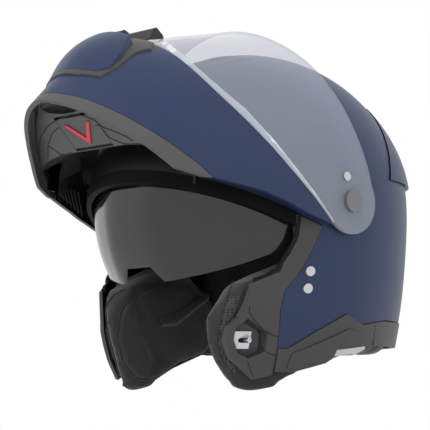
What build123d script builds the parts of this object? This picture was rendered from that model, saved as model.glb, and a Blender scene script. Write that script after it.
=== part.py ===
"""A flip-up motorcycle helmet, chin bar raised, sun visor down.

Millimetres, +Z up, the helmet faces -Y and the rider's left is +X. The origin is on the middle plane,
below the form centre, in the plane on which the cheek pads stand.

The side views below are drawn as (forward, up) from the form centre, which lies stand_height above
the origin. Chin bar and face shield are drawn in a frame of their own, turned up by raise_angle, so
that their sizes read as on the closed helmet.
"""
import os
from functools import lru_cache
from math import cos, pi, radians, sin, sqrt

from build123d import *

# Outer shell
half_width = 122.0
front_reach = 140.0
rear_reach = 138.0
crown_height = 125.0
skirt_drop = 170.0
shell_wall = 4.0
crown_power = 1.95
skirt_taper_share = 0.216
skirt_power = 2.2
stand_height = 152.0

# Chin bar and face shield, sizes of the closed helmet
raise_angle = 63.0
chin_half_width = 129.0
chin_reach = 175.0
chin_drop = 190.0
chin_wall = 4.0
arm_tail = 42.0
pivot_plate_thickness = 1.6
shield_thickness = 2.3
shield_lobe_radius = 25.5

# Hinge of the chin bar and the shield
hinge_forward = 13.6
hinge_drop = 6.4
hinge_pin_radius = 5.0
pivot_cover_radius = 8.5
pivot_cover_thickness = 1.8
pivot_flange_radius = 9.5
pivot_flange_thickness = 2.0
pivot_washer_radius = 9.0
pivot_washer_thickness = 0.5
running_clearance = 0.06

# Gaps between pieces
seam_gap = 0.4
seat_gap = 0.3
soft_gap = 0.5

# Padding
foam_depth = 32.0
comfort_thickness = 7.0
cheek_pad_inner = 48.0
cheek_pad_outer = 104.0
cheek_pad_corner = 13.0
stand_flat = 0.5
neck_roll_radius = 90.0
neck_roll_half_width = 13.5
neck_roll_half_height = 13.5
neck_roll_drop = 107.6
neck_roll_start = 24.0

# Side frames, strikers, trim
frame_wall = 3.5
recess_depth = 8.5
recess_wall = 1.5
striker_forward = 82.0
striker_drop = 113.0
striker_plate_width = 10.0
striker_plate_height = 13.0
striker_plate_thickness = 1.6
striker_pin_radius = 2.2
trim_proud = 1.2
trim_wall = 3.0
trim_flare = 0.3
trim_split = 30.0
pocket_cover_thickness = 1.2
visor_slider_depth = 4.4
gasket_proud = 1.0
gasket_wall = 3.0
gasket_height = 11.0

# Rivets and strap hangers
rivet_head_radius = 3.75
rivet_head_height = 1.6
rivet_shank_radius = 2.4
rivet_places = [(45.0, -61.0), (46.0, -74.0)]
hanger_thickness = 1.5
hanger_depth = shell_wall + soft_gap * 1.2
hanger_slope_shares = (1, -0.315, -0.12)

# Sun visor
visor_forward = 12.0
visor_drop = 5.0
visor_half_width = 111.0
visor_radius = 120.0
visor_power = 2.12
lens_thickness = 2.2
visor_arm_thickness = 4.2
visor_clearance = 1.0
visor_pin_radius = 3.0
visor_pin_head_radius = 5.5
visor_pin_flange_radius = 8.0
visor_pin_flange_thickness = 1.5
visor_pin_head_thickness = 1.2
visor_arm_radius = 9.0
nose_half_width = 25.0
nose_height = 11.0

# Chin bar inside
void_half_width = 102.0
void_reach = 103.0
void_power = 4.0
inner_wall = 2.5
floor_forward = 115.0
floor_drop = 134.0
floor_slope = 18.0
floor_thickness = 2.5
floor_start = 62.0
sill_thickness = 2.2
finger_recess_length = 28.0
finger_recess_width = 8.5
finger_recess_forward = 145.0
finger_recess_depth = 10.0
lever_width = 44.0
lever_rear = 106.0
lever_front = 133.0
lever_thickness = 3.0
lever_pin_radius = 1.0
lever_barrel_radius = 2.0
chevron_half_width = 15.4
chevron_depth = 20.0
chevron_band = 3.6
chevron_height = 1.0
chevron_apex = 108.5
latch_forward = 88.0
latch_drop = 109.3
latch_reach = 22.7
latch_lean = 32.7
latch_side = 84.75
latch_thickness = 2.5
latch_half_width = 5.5
latch_jaw_length = 9.0
latch_jaw_width = 8.8
latch_slot_width = 5.6
latch_axle_radius = 2.5
latch_bay_margin = 2.0

# Vents
vent_lift = 9.0
vent_channel_proud = 1.6
vent_slider_width = 28.0
crown_vent_turn = 62.0
crown_vent_proud = 0.6
crown_pocket_depth = 1.8
shield_tab_width = 34.0
screw_place = (19.7, -11.5)
screw_radius = 1.5
screw_head_radius = 3.5
screw_head_height = 1.2
guard_thickness = 2.0
guard_half_width = 46.0
spoiler_turn = 3.0
spoiler_lift = 100.0
spoiler_setback = 60.0

# One length that is longer than any cut needs
overrun = 200.0

form_centre = (0, 0, stand_height)
side_plane = Plane(origin=form_centre, x_dir=(0, -1, 0), z_dir=(-1, 0, 0))
section_plane = Plane(origin=form_centre, x_dir=(1, 0, 0), z_dir=(0, -1, 0))
tilt = radians(raise_angle)
chin_side = Plane(origin=form_centre, x_dir=(0, -cos(tilt), sin(tilt)), z_dir=(-1, 0, 0))
chin_level = Plane(origin=form_centre, x_dir=(1, 0, 0), z_dir=(0, sin(tilt), cos(tilt)))
chin_front = Plane(origin=form_centre, x_dir=(1, 0, 0), z_dir=(0, -cos(tilt), sin(tilt)))
hinge_plane = Plane(
    origin=(0, -hinge_forward, stand_height - hinge_drop), x_dir=(0, -1, 0), z_dir=(1, 0, 0)
)
visor_centre = (0, -visor_forward, stand_height - visor_drop)
visor_plane = Plane(origin=visor_centre, x_dir=(0, -1, 0), z_dir=(-1, 0, 0))


# Views and forms


def side_view(shares):
    """Points of the shell's side view: forward as shares of front_reach, up as shares of skirt_drop."""
    return [(forward * front_reach, up * skirt_drop) for forward, up in shares]


def chin_side_view(shares):
    """Points of the closed chin bar's side view, as shares of chin_reach and chin_drop."""
    return [(forward * chin_reach, up * chin_drop) for forward, up in shares]


def chin_front_view(shares):
    """Points of the chin bar's front view, as shares of chin_half_width and chin_drop."""
    return [(across * chin_half_width, up * chin_drop) for across, up in shares]


def shifted(points, forward, up):
    """The points of an outline, all moved alike."""
    return [(x + forward, y + up) for x, y in points]


def half_form(inset, reach, arc):
    """Front or rear half of the head form, its surface inset from the outer shell."""
    width = half_width - inset
    height = crown_height - inset
    turn_shares = (1, 0.85, 0.7, 0.55, 0.4, 0.25, 0.1)
    fall_shares = (0, 0.2, 0.4, 0.6, 0.8, 1)
    turns = [pi / 2 * share for share in turn_shares]
    crown = [(width * cos(t) ** (2 / crown_power), height * sin(t) ** (2 / crown_power)) for t in turns]
    crown[0] = (0, height)
    skirt = [(width * (1 - skirt_taper_share * s**skirt_power), -skirt_drop * s) for s in fall_shares]
    hem_slope = (-skirt_taper_share * skirt_power * width, -skirt_drop)
    with BuildPart() as half:
        with BuildSketch(section_plane):
            with BuildLine():
                Spline(*crown, *skirt, tangents=((1, 0), hem_slope))
                Polyline(skirt[-1], (0, -skirt_drop), (0, height))
            make_face()
        revolve(axis=Axis.Z, revolution_arc=arc)
        scale(by=(1, (reach - inset) / width, 1))
    return half.part


@lru_cache(maxsize=None)
def head_form(inset):
    """The rounded head form as one solid, its surface inset from the outer shell's."""
    with BuildPart() as form:
        add(half_form(inset, front_reach, -180))
        add(half_form(inset, rear_reach, 180))
    return form.part


# Level, half width and reach of the closed chin bar, as shares of chin_drop, chin_half_width, chin_reach,
# and the power of its plan curve
chin_section_shares = [
    (-1.0, 0.66, 0.84, 1.75),
    (-0.87, 0.70, 0.89, 1.75),
    (-0.79, 0.745, 0.92, 1.75),
    (-0.68, 0.80, 0.96, 1.8),
    (-0.58, 0.865, 0.992, 1.88),
    (-0.42, 0.95, 0.985, 2.0),
    (-0.26, 0.98, 0.932, 2.0),
    (-0.15, 0.992, 0.903, 2.0),
    (0.0, 1.0, 0.86, 2.0),
    (0.16, 0.992, 0.813, 2.0),
    (0.3, 0.962, 0.763, 2.0),
    (0.44, 0.905, 0.68, 2.0),
]


@lru_cache(maxsize=None)
def chin_form(inset):
    """The form that chin bar and face shield share, its surface inset from theirs."""
    turns = [pi / 2 * share for share in (0.16, 0.32, 0.48, 0.64, 0.8, 0.92)]
    with BuildPart() as form:
        for level, width_share, reach_share, power in chin_section_shares:
            width = chin_half_width * width_share - inset
            reach = chin_reach * reach_share - inset
            side = [(width * cos(t) ** (2 / power), -reach * sin(t) ** (2 / power)) for t in turns]
            far_side = [(-x, y) for x, y in side[::-1]]
            with BuildSketch(chin_level.offset(chin_drop * level)):
                with BuildLine():
                    Spline((width, 0), *side, (0, -reach), *far_side, (-width, 0), tangents=((0, -1), (0, 1)))
                    Polyline((width, 0), (width, arm_tail), (-width, arm_tail), (-width, 0))
                make_face()
        loft()
    return form.part


@lru_cache(maxsize=None)
def visor_form(inset):
    """The form of the sun visor, round about the visor's own hinge line."""
    width = visor_half_width - inset
    radius = visor_radius - inset
    turns = [pi * share for share in (0.1, 0.2, 0.3, 0.4)]
    profile = [(width, 0)]
    profile += [(width * cos(t) ** (2 / visor_power), radius * sin(t) ** (2 / visor_power)) for t in turns]
    profile.append((0, radius))
    with BuildPart() as half:
        with BuildSketch(Plane(origin=visor_centre, x_dir=(1, 0, 0), z_dir=(0, -1, 0))):
            with BuildLine():
                Spline(*profile, tangents=((0, 1), (-1, 0)))
                Polyline(profile[-1], (0, 0), profile[0])
            make_face()
        revolve(axis=Axis(origin=visor_centre, direction=(1, 0, 0)))
    with BuildPart() as form:
        add(half.part)
        mirror(half.part, about=Plane.YZ)
    return form.part


@lru_cache(maxsize=None)
def visor_skin(outer_inset, inner_inset):
    """The layer of the sun visor's form between two insets."""
    with BuildPart() as skin:
        add(visor_form(outer_inset))
        add(visor_form(inner_inset), mode=Mode.SUBTRACT)
    return skin.part


@lru_cache(maxsize=None)
def chin_void(growth):
    """The rider's space inside the closed chin bar, grown outwards by a wall."""
    width = void_half_width + growth
    reach = void_reach + growth
    turns = [pi * share for share in (0, 0.06, 0.13, 0.21, 0.3, 0.4, 0.5, 0.6, 0.7, 0.79, 0.87, 0.94, 1)]
    curve = []
    for t in turns:
        across = abs(cos(t)) ** (2 / void_power) * width
        forward = abs(sin(t)) ** (2 / void_power) * reach
        curve.append((across if cos(t) > 0 else -across, -forward))
    curve[0] = (width, 0)
    curve[-1] = (-width, 0)
    with BuildPart() as void:
        with BuildSketch(chin_level.offset(-chin_drop)):
            with BuildLine():
                Spline(*curve, tangents=((0, -1), (0, 1)))
                Polyline(curve[-1], (-width, arm_tail), (width, arm_tail), curve[0])
            make_face()
        extrude(amount=chin_drop * 2)
    return void.part


@lru_cache(maxsize=None)
def head_skin(outer_inset, inner_inset):
    """The layer of the head form between two insets."""
    with BuildPart() as skin:
        add(head_form(outer_inset))
        add(head_form(inner_inset), mode=Mode.SUBTRACT)
    return skin.part


@lru_cache(maxsize=None)
def chin_skin(outer_inset, inner_inset):
    """The layer of the chin form between two insets."""
    with BuildPart() as skin:
        add(chin_form(outer_inset))
        add(chin_form(inner_inset), mode=Mode.SUBTRACT)
    return skin.part


def form_width(forward, drop, inset):
    """Half width of the head form's skirt at a place of the side view."""
    fall = 1 - skirt_taper_share * (drop / skirt_drop) ** skirt_power
    return (half_width - inset) * fall * sqrt(1 - (forward / ((front_reach - inset) * fall)) ** 2)


def finish(piece, label):
    """Label one piece and write it."""
    piece.part.label = label
    export_step(piece.part, f"parts/{label}.step")


def finish_pair(piece, label):
    """Write a piece of the rider's left side and its mirror image."""
    finish(piece, f"{label}_left")
    with BuildPart() as other:
        mirror(piece.part, about=Plane.YZ)
    finish(other, f"{label}_right")


os.makedirs("parts", exist_ok=True)

# Side view of the shell's edges
brow_line = side_view([(1.3, 0.215), (0.814, 0.045), (0.593, -0.03), (0.4, -0.1), (0.25, -0.153)])
shell_front_edge = side_view(
    [(0.325, -0.294), (0.386, -0.382), (0.446, -0.447), (0.457, -0.535), (0.443, -0.7)]
)
shell_hem = side_view(
    [(0.393, -0.7), (0.236, -0.618), (0.05, -0.541), (-0.093, -0.588), (-0.329, -0.562), (-1.3, -0.571)]
)
above_shell = side_view([(-1.3, 1.0), (1.3, 1.0)])
recess_outline = side_view(
    [(0.606, -0.571), (0.65, -0.612), (0.65, -0.665), (0.621, -0.724), (0.571, -0.747), (0.5, -0.715),
     (0.505, -0.632)]
)
recess_grown_outline = side_view(
    [(0.606, -0.558), (0.664, -0.606), (0.664, -0.671), (0.63, -0.735), (0.569, -0.76), (0.484, -0.724),
     (0.49, -0.622)]
)

# Crown vent's outlines, drawn on a plane square to its place on the crown
vent_turn = radians(crown_vent_turn)
vent_plane = Plane(origin=form_centre, x_dir=(1, 0, 0), z_dir=(0, -cos(vent_turn), sin(vent_turn)))
vent_base_outline = [
    (x * half_width, y * half_width)
    for x, y in [(-0.3, 0.2), (0.3, 0.2), (0.23, -0.17), (0.12, -0.21), (-0.12, -0.21), (-0.23, -0.17)]
]
vent_pocket_outline = [
    (x * half_width, y * half_width) for x, y in [(-0.16, 0.14), (0.16, 0.14), (0.125, -0.1), (-0.125, -0.1)]
]
vent_slider_outline = [
    (x * half_width, y * half_width) for x, y in [(-0.12, 0.05), (0.12, 0.05), (0.11, -0.09), (-0.11, -0.09)]
]
with BuildPart() as vent_pocket:
    add(head_skin(-crown_vent_proud * 2, crown_pocket_depth))
    with BuildSketch(vent_plane):
        with BuildLine():
            Polyline(*vent_pocket_outline, close=True)
        make_face()
    extrude(amount=overrun, mode=Mode.INTERSECT)

# Outer shell, its right half mirrored from the left
with BuildPart() as shell_half:
    add(head_skin(0, shell_wall))
    with BuildSketch(side_plane):
        with BuildLine():
            Polyline(*brow_line, *shell_front_edge, *shell_hem, *above_shell, close=True)
        make_face()
        with Locations(*rivet_places):
            Circle(rivet_shank_radius + running_clearance, mode=Mode.SUBTRACT)
        with Locations((hinge_forward, -hinge_drop)):
            Circle(hinge_pin_radius + running_clearance, mode=Mode.SUBTRACT)
    extrude(amount=overrun, both=True, mode=Mode.INTERSECT)
    with BuildSketch(vent_plane):
        with BuildLine():
            Polyline(*vent_base_outline, close=True)
        make_face()
        offset(amount=seam_gap, kind=Kind.INTERSECTION)
    extrude(amount=overrun, mode=Mode.SUBTRACT)
    split(bisect_by=Plane.YZ, keep=Keep.TOP)
with BuildPart() as outer_shell:
    add(shell_half.part)
    mirror(shell_half.part, about=Plane.YZ)
finish(outer_shell, "outer_shell")

# Rivets that hold the strap hangers, with their flat heads outside
with BuildPart() as shell_rivets:
    add(head_skin(-seat_gap / 2, hanger_depth + hanger_thickness + seat_gap))
    with BuildSketch(side_plane):
        with Locations(*rivet_places):
            Circle(rivet_shank_radius)
    extrude(amount=overrun, both=True, mode=Mode.INTERSECT)
    with BuildPart(mode=Mode.PRIVATE) as rivet_heads:
        add(head_skin(-seat_gap / 2 - rivet_head_height, -seat_gap / 2))
        with BuildSketch(side_plane):
            with Locations(*rivet_places):
                Circle(rivet_head_radius)
        extrude(amount=overrun, both=True, mode=Mode.INTERSECT)
    add(rivet_heads.part)
finish(shell_rivets, "shell_rivets")

# Steel hanger behind the rivets, a flat plate that leans with the shell, with the slot for the strap
hanger_outline = side_view([(0.272, -0.33), (0.378, -0.33), (0.385, -0.495), (0.262, -0.495)])
slot_outline = side_view([(0.285, -0.463), (0.365, -0.463), (0.365, -0.48), (0.285, -0.48)])
hanger_place = (
    (rivet_places[0][0] + rivet_places[1][0]) / 2,
    (rivet_places[0][1] + rivet_places[1][1]) / 2,
)
hanger_foot = form_width(hanger_place[0], -hanger_place[1], hanger_depth)
hanger_plane = Plane(
    origin=(hanger_foot, -hanger_place[0], stand_height + hanger_place[1]), z_dir=hanger_slope_shares
)
with BuildPart() as strap_hanger:
    with BuildSketch(hanger_plane):
        Rectangle(overrun / 2, overrun / 2)
    extrude(amount=-hanger_thickness)
    with BuildSketch(side_plane):
        with BuildLine():
            Polyline(*hanger_outline, close=True)
        make_face()
        with BuildLine():
            Polyline(*slot_outline, close=True)
        make_face(mode=Mode.SUBTRACT)
        with Locations(*rivet_places):
            Circle(rivet_shank_radius + running_clearance, mode=Mode.SUBTRACT)
    extrude(amount=-overrun, mode=Mode.INTERSECT)
finish_pair(strap_hanger, "strap_hanger")

# Impact liner, foam against the shell, thinned in front where the sun visor parks
liner_outline = side_view(
    [(1.3, 0.24), (0.8, 0.08), (0.55, -0.005), (0.36, -0.08), (0.26, -0.19), (0.24, -0.225),
     (-0.17, -0.235), (-0.17, -0.55), (-1.3, -0.55), (-1.3, 1.0), (1.3, 1.0)]
)
pocket_outline = side_view(
    [(0.086, 0.12), (0.5, 1.0), (1.3, 1.0), (1.3, -0.6), (0.06, -0.6), (-0.02, -0.15), (-0.02, 0.04)]
)
visor_pin_seat = visor_half_width - visor_arm_thickness - visor_clearance
with BuildPart() as visor_pocket:
    add(head_form(0))
    add(visor_form(visor_arm_thickness + visor_clearance), mode=Mode.SUBTRACT)
    with BuildSketch(side_plane):
        with BuildLine():
            Polyline(*pocket_outline, close=True)
        make_face()
        with Locations((visor_forward, -visor_drop)):
            Circle(visor_arm_radius + visor_clearance * 3)
    extrude(amount=overrun, both=True, mode=Mode.INTERSECT)
with BuildPart() as impact_liner:
    add(head_skin(shell_wall + soft_gap, foam_depth))
    with BuildSketch(side_plane):
        with BuildLine():
            Polyline(*liner_outline, close=True)
        make_face()
    extrude(amount=overrun, both=True, mode=Mode.INTERSECT)
    add(visor_pocket.part, mode=Mode.SUBTRACT)
    for side in (1, -1):
        with BuildSketch(hinge_plane.offset(side * (half_width - shell_wall - pivot_flange_thickness - soft_gap * 7))):
            Circle(pivot_flange_radius + soft_gap)
        extrude(amount=side * overrun, mode=Mode.SUBTRACT)
        with BuildSketch(visor_plane.offset(side * (visor_pin_seat - visor_pin_flange_thickness - seat_gap))):
            Circle(visor_pin_flange_radius + soft_gap)
        extrude(amount=side * overrun, mode=Mode.SUBTRACT)
finish(impact_liner, "impact_liner")

# Comfort liner
comfort_outline = side_view(
    [(1.3, 0.22), (0.7, 0.1), (0.35, -0.05), (0.2, -0.2), (-0.17, -0.225), (-0.21, -0.47), (-1.3, -0.47),
     (-1.3, 1.0), (1.3, 1.0)]
)
with BuildPart() as comfort_liner:
    add(head_skin(foam_depth + soft_gap, foam_depth + soft_gap + comfort_thickness))
    with BuildSketch(side_plane):
        with BuildLine():
            Polyline(*comfort_outline, close=True)
        make_face()
    extrude(amount=overrun, both=True, mode=Mode.INTERSECT)
finish(comfort_liner, "comfort_liner")

# Neck roll
with BuildPart() as neck_roll:
    with BuildSketch(section_plane):
        with Locations((neck_roll_radius, -neck_roll_drop)):
            Ellipse(neck_roll_half_width, neck_roll_half_height)
    revolve(axis=Axis.Z, revolution_arc=180)
    scale(by=(1, (rear_reach - foam_depth) / (half_width - foam_depth), 1))
    split(bisect_by=Plane.XZ.offset(-neck_roll_start), keep=Keep.BOTTOM)
finish(neck_roll, "neck_roll")

# Cheek pads, crowned towards the rider
pad_outline = side_view(
    [(0.143, -0.265), (0.607, -0.4), (0.764, -0.559), (0.757, -0.68), (0.69, -0.79), (0.6, -0.863),
     (0.5, -0.897), (0.38, -0.875), (0.18, -0.79), (-0.1, -0.715), (-0.129, -0.441)]
)
pad_centre = side_view([(0.35, -0.6)])[0]
pad_section_shares = [(0.0, 0.8), (0.1, 0.9), (0.3, 0.985), (0.55, 1.0), (1.0, 1.0)]
with BuildPart() as recess_block:
    add(head_skin(0, recess_depth + recess_wall + soft_gap))
    with BuildSketch(side_plane):
        with BuildLine():
            Polyline(*recess_grown_outline, close=True)
        make_face()
        offset(amount=soft_gap)
    extrude(amount=-overrun, mode=Mode.INTERSECT)
with BuildPart() as cheek_pad:
    for depth_share, size_share in pad_section_shares:
        level = cheek_pad_inner + depth_share * (cheek_pad_outer - cheek_pad_inner)
        with BuildSketch(side_plane.offset(-level)) as pad_section:
            with BuildLine():
                Polyline(
                    *[
                        (
                            pad_centre[0] + (x - pad_centre[0]) * size_share,
                            pad_centre[1] + (y - pad_centre[1]) * size_share,
                        )
                        for x, y in pad_outline
                    ],
                    close=True,
                )
            make_face()
            fillet(pad_section.vertices(), cheek_pad_corner * size_share)
    loft()
    add(head_form(hanger_depth + hanger_thickness + soft_gap), mode=Mode.INTERSECT)
    add(recess_block.part, mode=Mode.SUBTRACT)
    split(bisect_by=Plane.XY, keep=Keep.TOP)
finish_pair(cheek_pad, "cheek_pad")

# Side frames, which border the eye port and hold the strikers
frame_front_shares = [
    (0.41, -0.106), (0.4, -0.224), (0.432, -0.282), (0.5, -0.371), (0.603, -0.414), (0.622, -0.5),
    (0.643, -0.56), (0.68, -0.604), (0.68, -0.673), (0.643, -0.744), (0.53, -0.838), (0.446, -0.82)
]
frame_outline = (
    side_view(frame_front_shares)
    + shifted(shell_front_edge[::-1], seam_gap, 0)
    + shifted(side_view([(0.25, -0.153)]), seam_gap, -seam_gap)
)
with BuildPart() as recess_walls:
    add(head_skin(0, recess_depth + recess_wall))
    with BuildSketch(side_plane):
        with BuildLine():
            Polyline(*recess_grown_outline, close=True)
        make_face()
    extrude(amount=-overrun, mode=Mode.INTERSECT)
with BuildPart() as recess_space:
    add(head_skin(-overrun / 10, recess_depth))
    with BuildSketch(side_plane):
        with BuildLine():
            Polyline(*recess_outline, close=True)
        make_face()
    extrude(amount=-overrun, mode=Mode.INTERSECT)
with BuildPart() as side_frame:
    add(head_skin(0, frame_wall))
    with BuildSketch(side_plane):
        with BuildLine():
            Polyline(*frame_outline, close=True)
        make_face()
    extrude(amount=-overrun, mode=Mode.INTERSECT)
    add(recess_walls.part)
    add(recess_space.part, mode=Mode.SUBTRACT)
finish_pair(side_frame, "side_frame")

# Strikers in the recesses
striker_place = (striker_forward, -striker_drop)
striker_foot = form_width(striker_forward, striker_drop, recess_depth - striker_plate_thickness / 2)
with BuildPart() as striker_plate:
    add(head_skin(recess_depth - seat_gap / 2 - striker_plate_thickness, recess_depth - seat_gap / 2))
    with BuildSketch(side_plane):
        with Locations(striker_place):
            Rectangle(striker_plate_width, striker_plate_height)
    extrude(amount=-overrun, mode=Mode.INTERSECT)
with BuildPart() as striker:
    with BuildSketch(side_plane.offset(-striker_foot + striker_pin_radius)):
        with Locations(striker_place):
            Circle(striker_pin_radius)
    extrude(amount=-recess_depth - striker_plate_thickness / 2 - striker_pin_radius)
    add(head_form(recess_depth - seat_gap / 2), mode=Mode.SUBTRACT)
    add(striker_plate.part)
finish_pair(striker, "striker")

# Trim round the hem
trim_hem = side_view(
    [(0.439, -0.806), (0.343, -0.806), (0.15, -0.765), (0.1, -0.738), (0.097, -0.703), (-0.15, -0.682),
     (-0.414, -0.682), (-1.3, -0.688)]
)
trim_outline = (
    shifted(side_view([(0.443, -0.7)]) + shell_hem, 0, -seam_gap) + trim_hem[::-1]
)
with BuildPart() as side_trim:
    add(head_skin(-trim_proud, trim_wall))
    with BuildSketch(side_plane):
        with BuildLine():
            Polyline(*trim_outline, close=True)
        make_face()
    extrude(amount=-overrun, mode=Mode.INTERSECT)
    split(bisect_by=Plane.XZ.offset(-trim_split), keep=Keep.TOP)
finish_pair(side_trim, "side_trim")

rear_trim_top = shell_hem[-1][1] + seam_gap
rear_trim_bottom = trim_hem[-1][1]
with BuildPart() as rear_trim:
    for level, flare in ((rear_trim_top, 0), (rear_trim_bottom, trim_flare)):
        fall = 1 - skirt_taper_share * (-level / skirt_drop) ** skirt_power
        with BuildSketch(Plane.XY.offset(stand_height + level)):
            Ellipse(half_width * fall + trim_proud + flare, rear_reach * fall + trim_proud + flare)
    loft()
    add(head_form(trim_wall), mode=Mode.SUBTRACT)
    with BuildSketch(side_plane):
        with BuildLine():
            Polyline(*trim_outline, close=True)
        make_face()
    extrude(amount=overrun, both=True, mode=Mode.INTERSECT)
    split(bisect_by=Plane.XZ.offset(-trim_split - seam_gap), keep=Keep.BOTTOM)
finish(rear_trim, "rear_trim")

# Covers of the pockets in the side trim
cover_outline = side_view(
    [(0.386, -0.788), (0.368, -0.724), (0.03, -0.612), (-0.079, -0.624), (-0.064, -0.672), (0.09, -0.695),
     (0.11, -0.735), (0.15, -0.755), (0.34, -0.793)]
)
with BuildPart() as pocket_cover:
    add(head_skin(-trim_proud - seat_gap / 2 - pocket_cover_thickness, -trim_proud - seat_gap / 2))
    with BuildSketch(side_plane):
        with BuildLine():
            Polyline(*cover_outline, close=True)
        make_face()
    extrude(amount=-overrun, mode=Mode.INTERSECT)
finish_pair(pocket_cover, "pocket_cover")

# Slider of the sun visor, under the left trim
slider_outline = side_view(
    [(0.094, -0.706), (0.094, -0.733), (-0.08, -0.72), (-0.15, -0.7), (-0.15, -0.686)]
)
with BuildPart() as sun_visor_slider:
    add(head_skin(0, visor_slider_depth))
    with BuildSketch(side_plane):
        with BuildLine():
            Polyline(*slider_outline, close=True)
        make_face()
    extrude(amount=-overrun, mode=Mode.INTERSECT)
finish(sun_visor_slider, "sun_visor_slider")

# Gasket along the brow of the eye port
gasket_outline = shifted(brow_line[:4], 0, -seam_gap) + shifted(brow_line[:4][::-1], 0, -gasket_height)
with BuildPart() as brow_gasket:
    add(head_skin(-gasket_proud, gasket_wall))
    with BuildSketch(side_plane):
        with BuildLine():
            Polyline(*gasket_outline, close=True)
        make_face()
    extrude(amount=overrun, both=True, mode=Mode.INTERSECT)
    split(bisect_by=Plane.XZ.offset(frame_front_shares[0][0] * front_reach + seam_gap), keep=Keep.TOP)
finish(brow_gasket, "brow_gasket")

# Sun visor lens, arms and pins
lens_outline = side_view(
    [(1.2, 0.045), (0.87, 0.022), (0.66, -0.015), (0.47, -0.055), (0.36, -0.082), (0.29, -0.12),
     (0.27, -0.17), (0.3, -0.2), (0.42, -0.26), (0.63, -0.338), (0.745, -0.378), (0.8, -0.397),
     (1.2, -0.402)]
)
with BuildPart() as sun_visor_lens:
    add(visor_skin(0, lens_thickness))
    with BuildSketch(side_plane):
        with BuildLine():
            Polyline(*lens_outline, close=True)
        make_face()
    extrude(amount=overrun, both=True, mode=Mode.INTERSECT)
    lens_foot = lens_outline[-2][1]
    with BuildSketch(section_plane):
        with BuildLine():
            Polyline(
                (-nose_half_width, lens_foot - nose_height),
                (-nose_half_width, lens_foot - nose_height / 8),
                (-nose_half_width * 0.6, lens_foot + nose_height),
                (nose_half_width * 0.6, lens_foot + nose_height),
                (nose_half_width, lens_foot - nose_height / 8),
                (nose_half_width, lens_foot - nose_height),
                close=True,
            )
        make_face()
    extrude(amount=overrun, mode=Mode.SUBTRACT)
finish(sun_visor_lens, "sun_visor_lens")

arm_outline = [
    (visor_forward, visor_arm_radius - visor_drop), *shifted(lens_outline[5:8], -seam_gap, 0),
    (visor_forward, -visor_arm_radius - visor_drop)
]
arm_tab_outline = side_view([(0.27, -0.13), (0.38, -0.12), (0.4, -0.18), (0.27, -0.18)])
with BuildPart() as arm_tab:
    add(visor_skin(lens_thickness + seat_gap / 2, visor_arm_thickness))
    with BuildSketch(side_plane):
        with BuildLine():
            Polyline(*arm_tab_outline, close=True)
        make_face()
    extrude(amount=-overrun, mode=Mode.INTERSECT)
with BuildPart() as sun_visor_arm:
    add(visor_skin(0, visor_arm_thickness))
    with BuildSketch(side_plane):
        with BuildLine():
            Polyline(*arm_outline, close=True)
        make_face()
        with Locations((visor_forward, -visor_drop)):
            Circle(visor_arm_radius)
            Circle(visor_pin_radius + running_clearance, mode=Mode.SUBTRACT)
    extrude(amount=-overrun, mode=Mode.INTERSECT)
    add(arm_tab.part)
finish_pair(sun_visor_arm, "sun_visor_arm")

with BuildPart() as sun_visor_pin:
    with BuildSketch(visor_plane.offset(-visor_pin_seat)):
        Circle(visor_pin_flange_radius)
    extrude(amount=visor_pin_flange_thickness)
    with BuildSketch(visor_plane.offset(-visor_pin_seat)):
        Circle(visor_pin_radius)
    extrude(amount=-(visor_arm_thickness + visor_clearance + seat_gap))
    with BuildSketch(visor_plane.offset(-visor_half_width - seat_gap)):
        Circle(visor_pin_head_radius)
    extrude(amount=-visor_pin_head_thickness)
finish_pair(sun_visor_pin, "sun_visor_pin")

# Crown vent, flush in an opening of the crown, with a slider in its pocket
with BuildPart() as crown_vent:
    add(head_skin(-crown_vent_proud, shell_wall))
    with BuildSketch(vent_plane):
        with BuildLine():
            Polyline(*vent_base_outline, close=True)
        make_face()
    extrude(amount=overrun, mode=Mode.INTERSECT)
    add(vent_pocket.part, mode=Mode.SUBTRACT)
finish(crown_vent, "crown_vent")

with BuildPart() as crown_vent_slider:
    add(head_skin(-crown_vent_proud, crown_pocket_depth - seat_gap * 1.5))
    with BuildSketch(vent_plane):
        with BuildLine():
            Polyline(*vent_slider_outline, close=True)
        make_face()
    extrude(amount=overrun, mode=Mode.INTERSECT)
finish(crown_vent_slider, "crown_vent_slider")

# Rear spoiler, a ridge that grows out of the shell
spoiler_outline = side_view([(-0.33, 0.095), (-1.3, 0.095), (-1.3, 0.48), (-0.5, 0.48)])
spoiler_axis = Axis(origin=(0, spoiler_setback, stand_height + spoiler_lift), direction=(1, 0, 0))
with BuildPart() as rear_spoiler:
    add(head_form(0).rotate(spoiler_axis, spoiler_turn))
    add(head_form(-seat_gap / 2), mode=Mode.SUBTRACT)
    with BuildSketch(side_plane):
        with BuildLine():
            Polyline(*spoiler_outline, close=True)
        make_face()
    extrude(amount=overrun, both=True, mode=Mode.INTERSECT)
finish(rear_spoiler, "rear_spoiler")

# Hinge pins with their inner flanges, the caps on their ends and the washers under the arms
pin_start = half_width - shell_wall - soft_gap * 5 - pivot_flange_thickness
pin_end = chin_half_width + seat_gap / 2
with BuildPart() as pivot_pin:
    with BuildSketch(hinge_plane.offset(pin_start)):
        Circle(pivot_flange_radius)
    extrude(amount=pivot_flange_thickness)
    with BuildSketch(hinge_plane.offset(pin_start)):
        Circle(hinge_pin_radius)
    extrude(amount=pin_end - pin_start)
finish_pair(pivot_pin, "pivot_pin")

with BuildPart() as pivot_cover:
    with BuildSketch(hinge_plane.offset(chin_half_width + seat_gap)):
        Circle(pivot_cover_radius)
    extrude(amount=pivot_cover_thickness)
finish_pair(pivot_cover, "pivot_cover")

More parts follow.
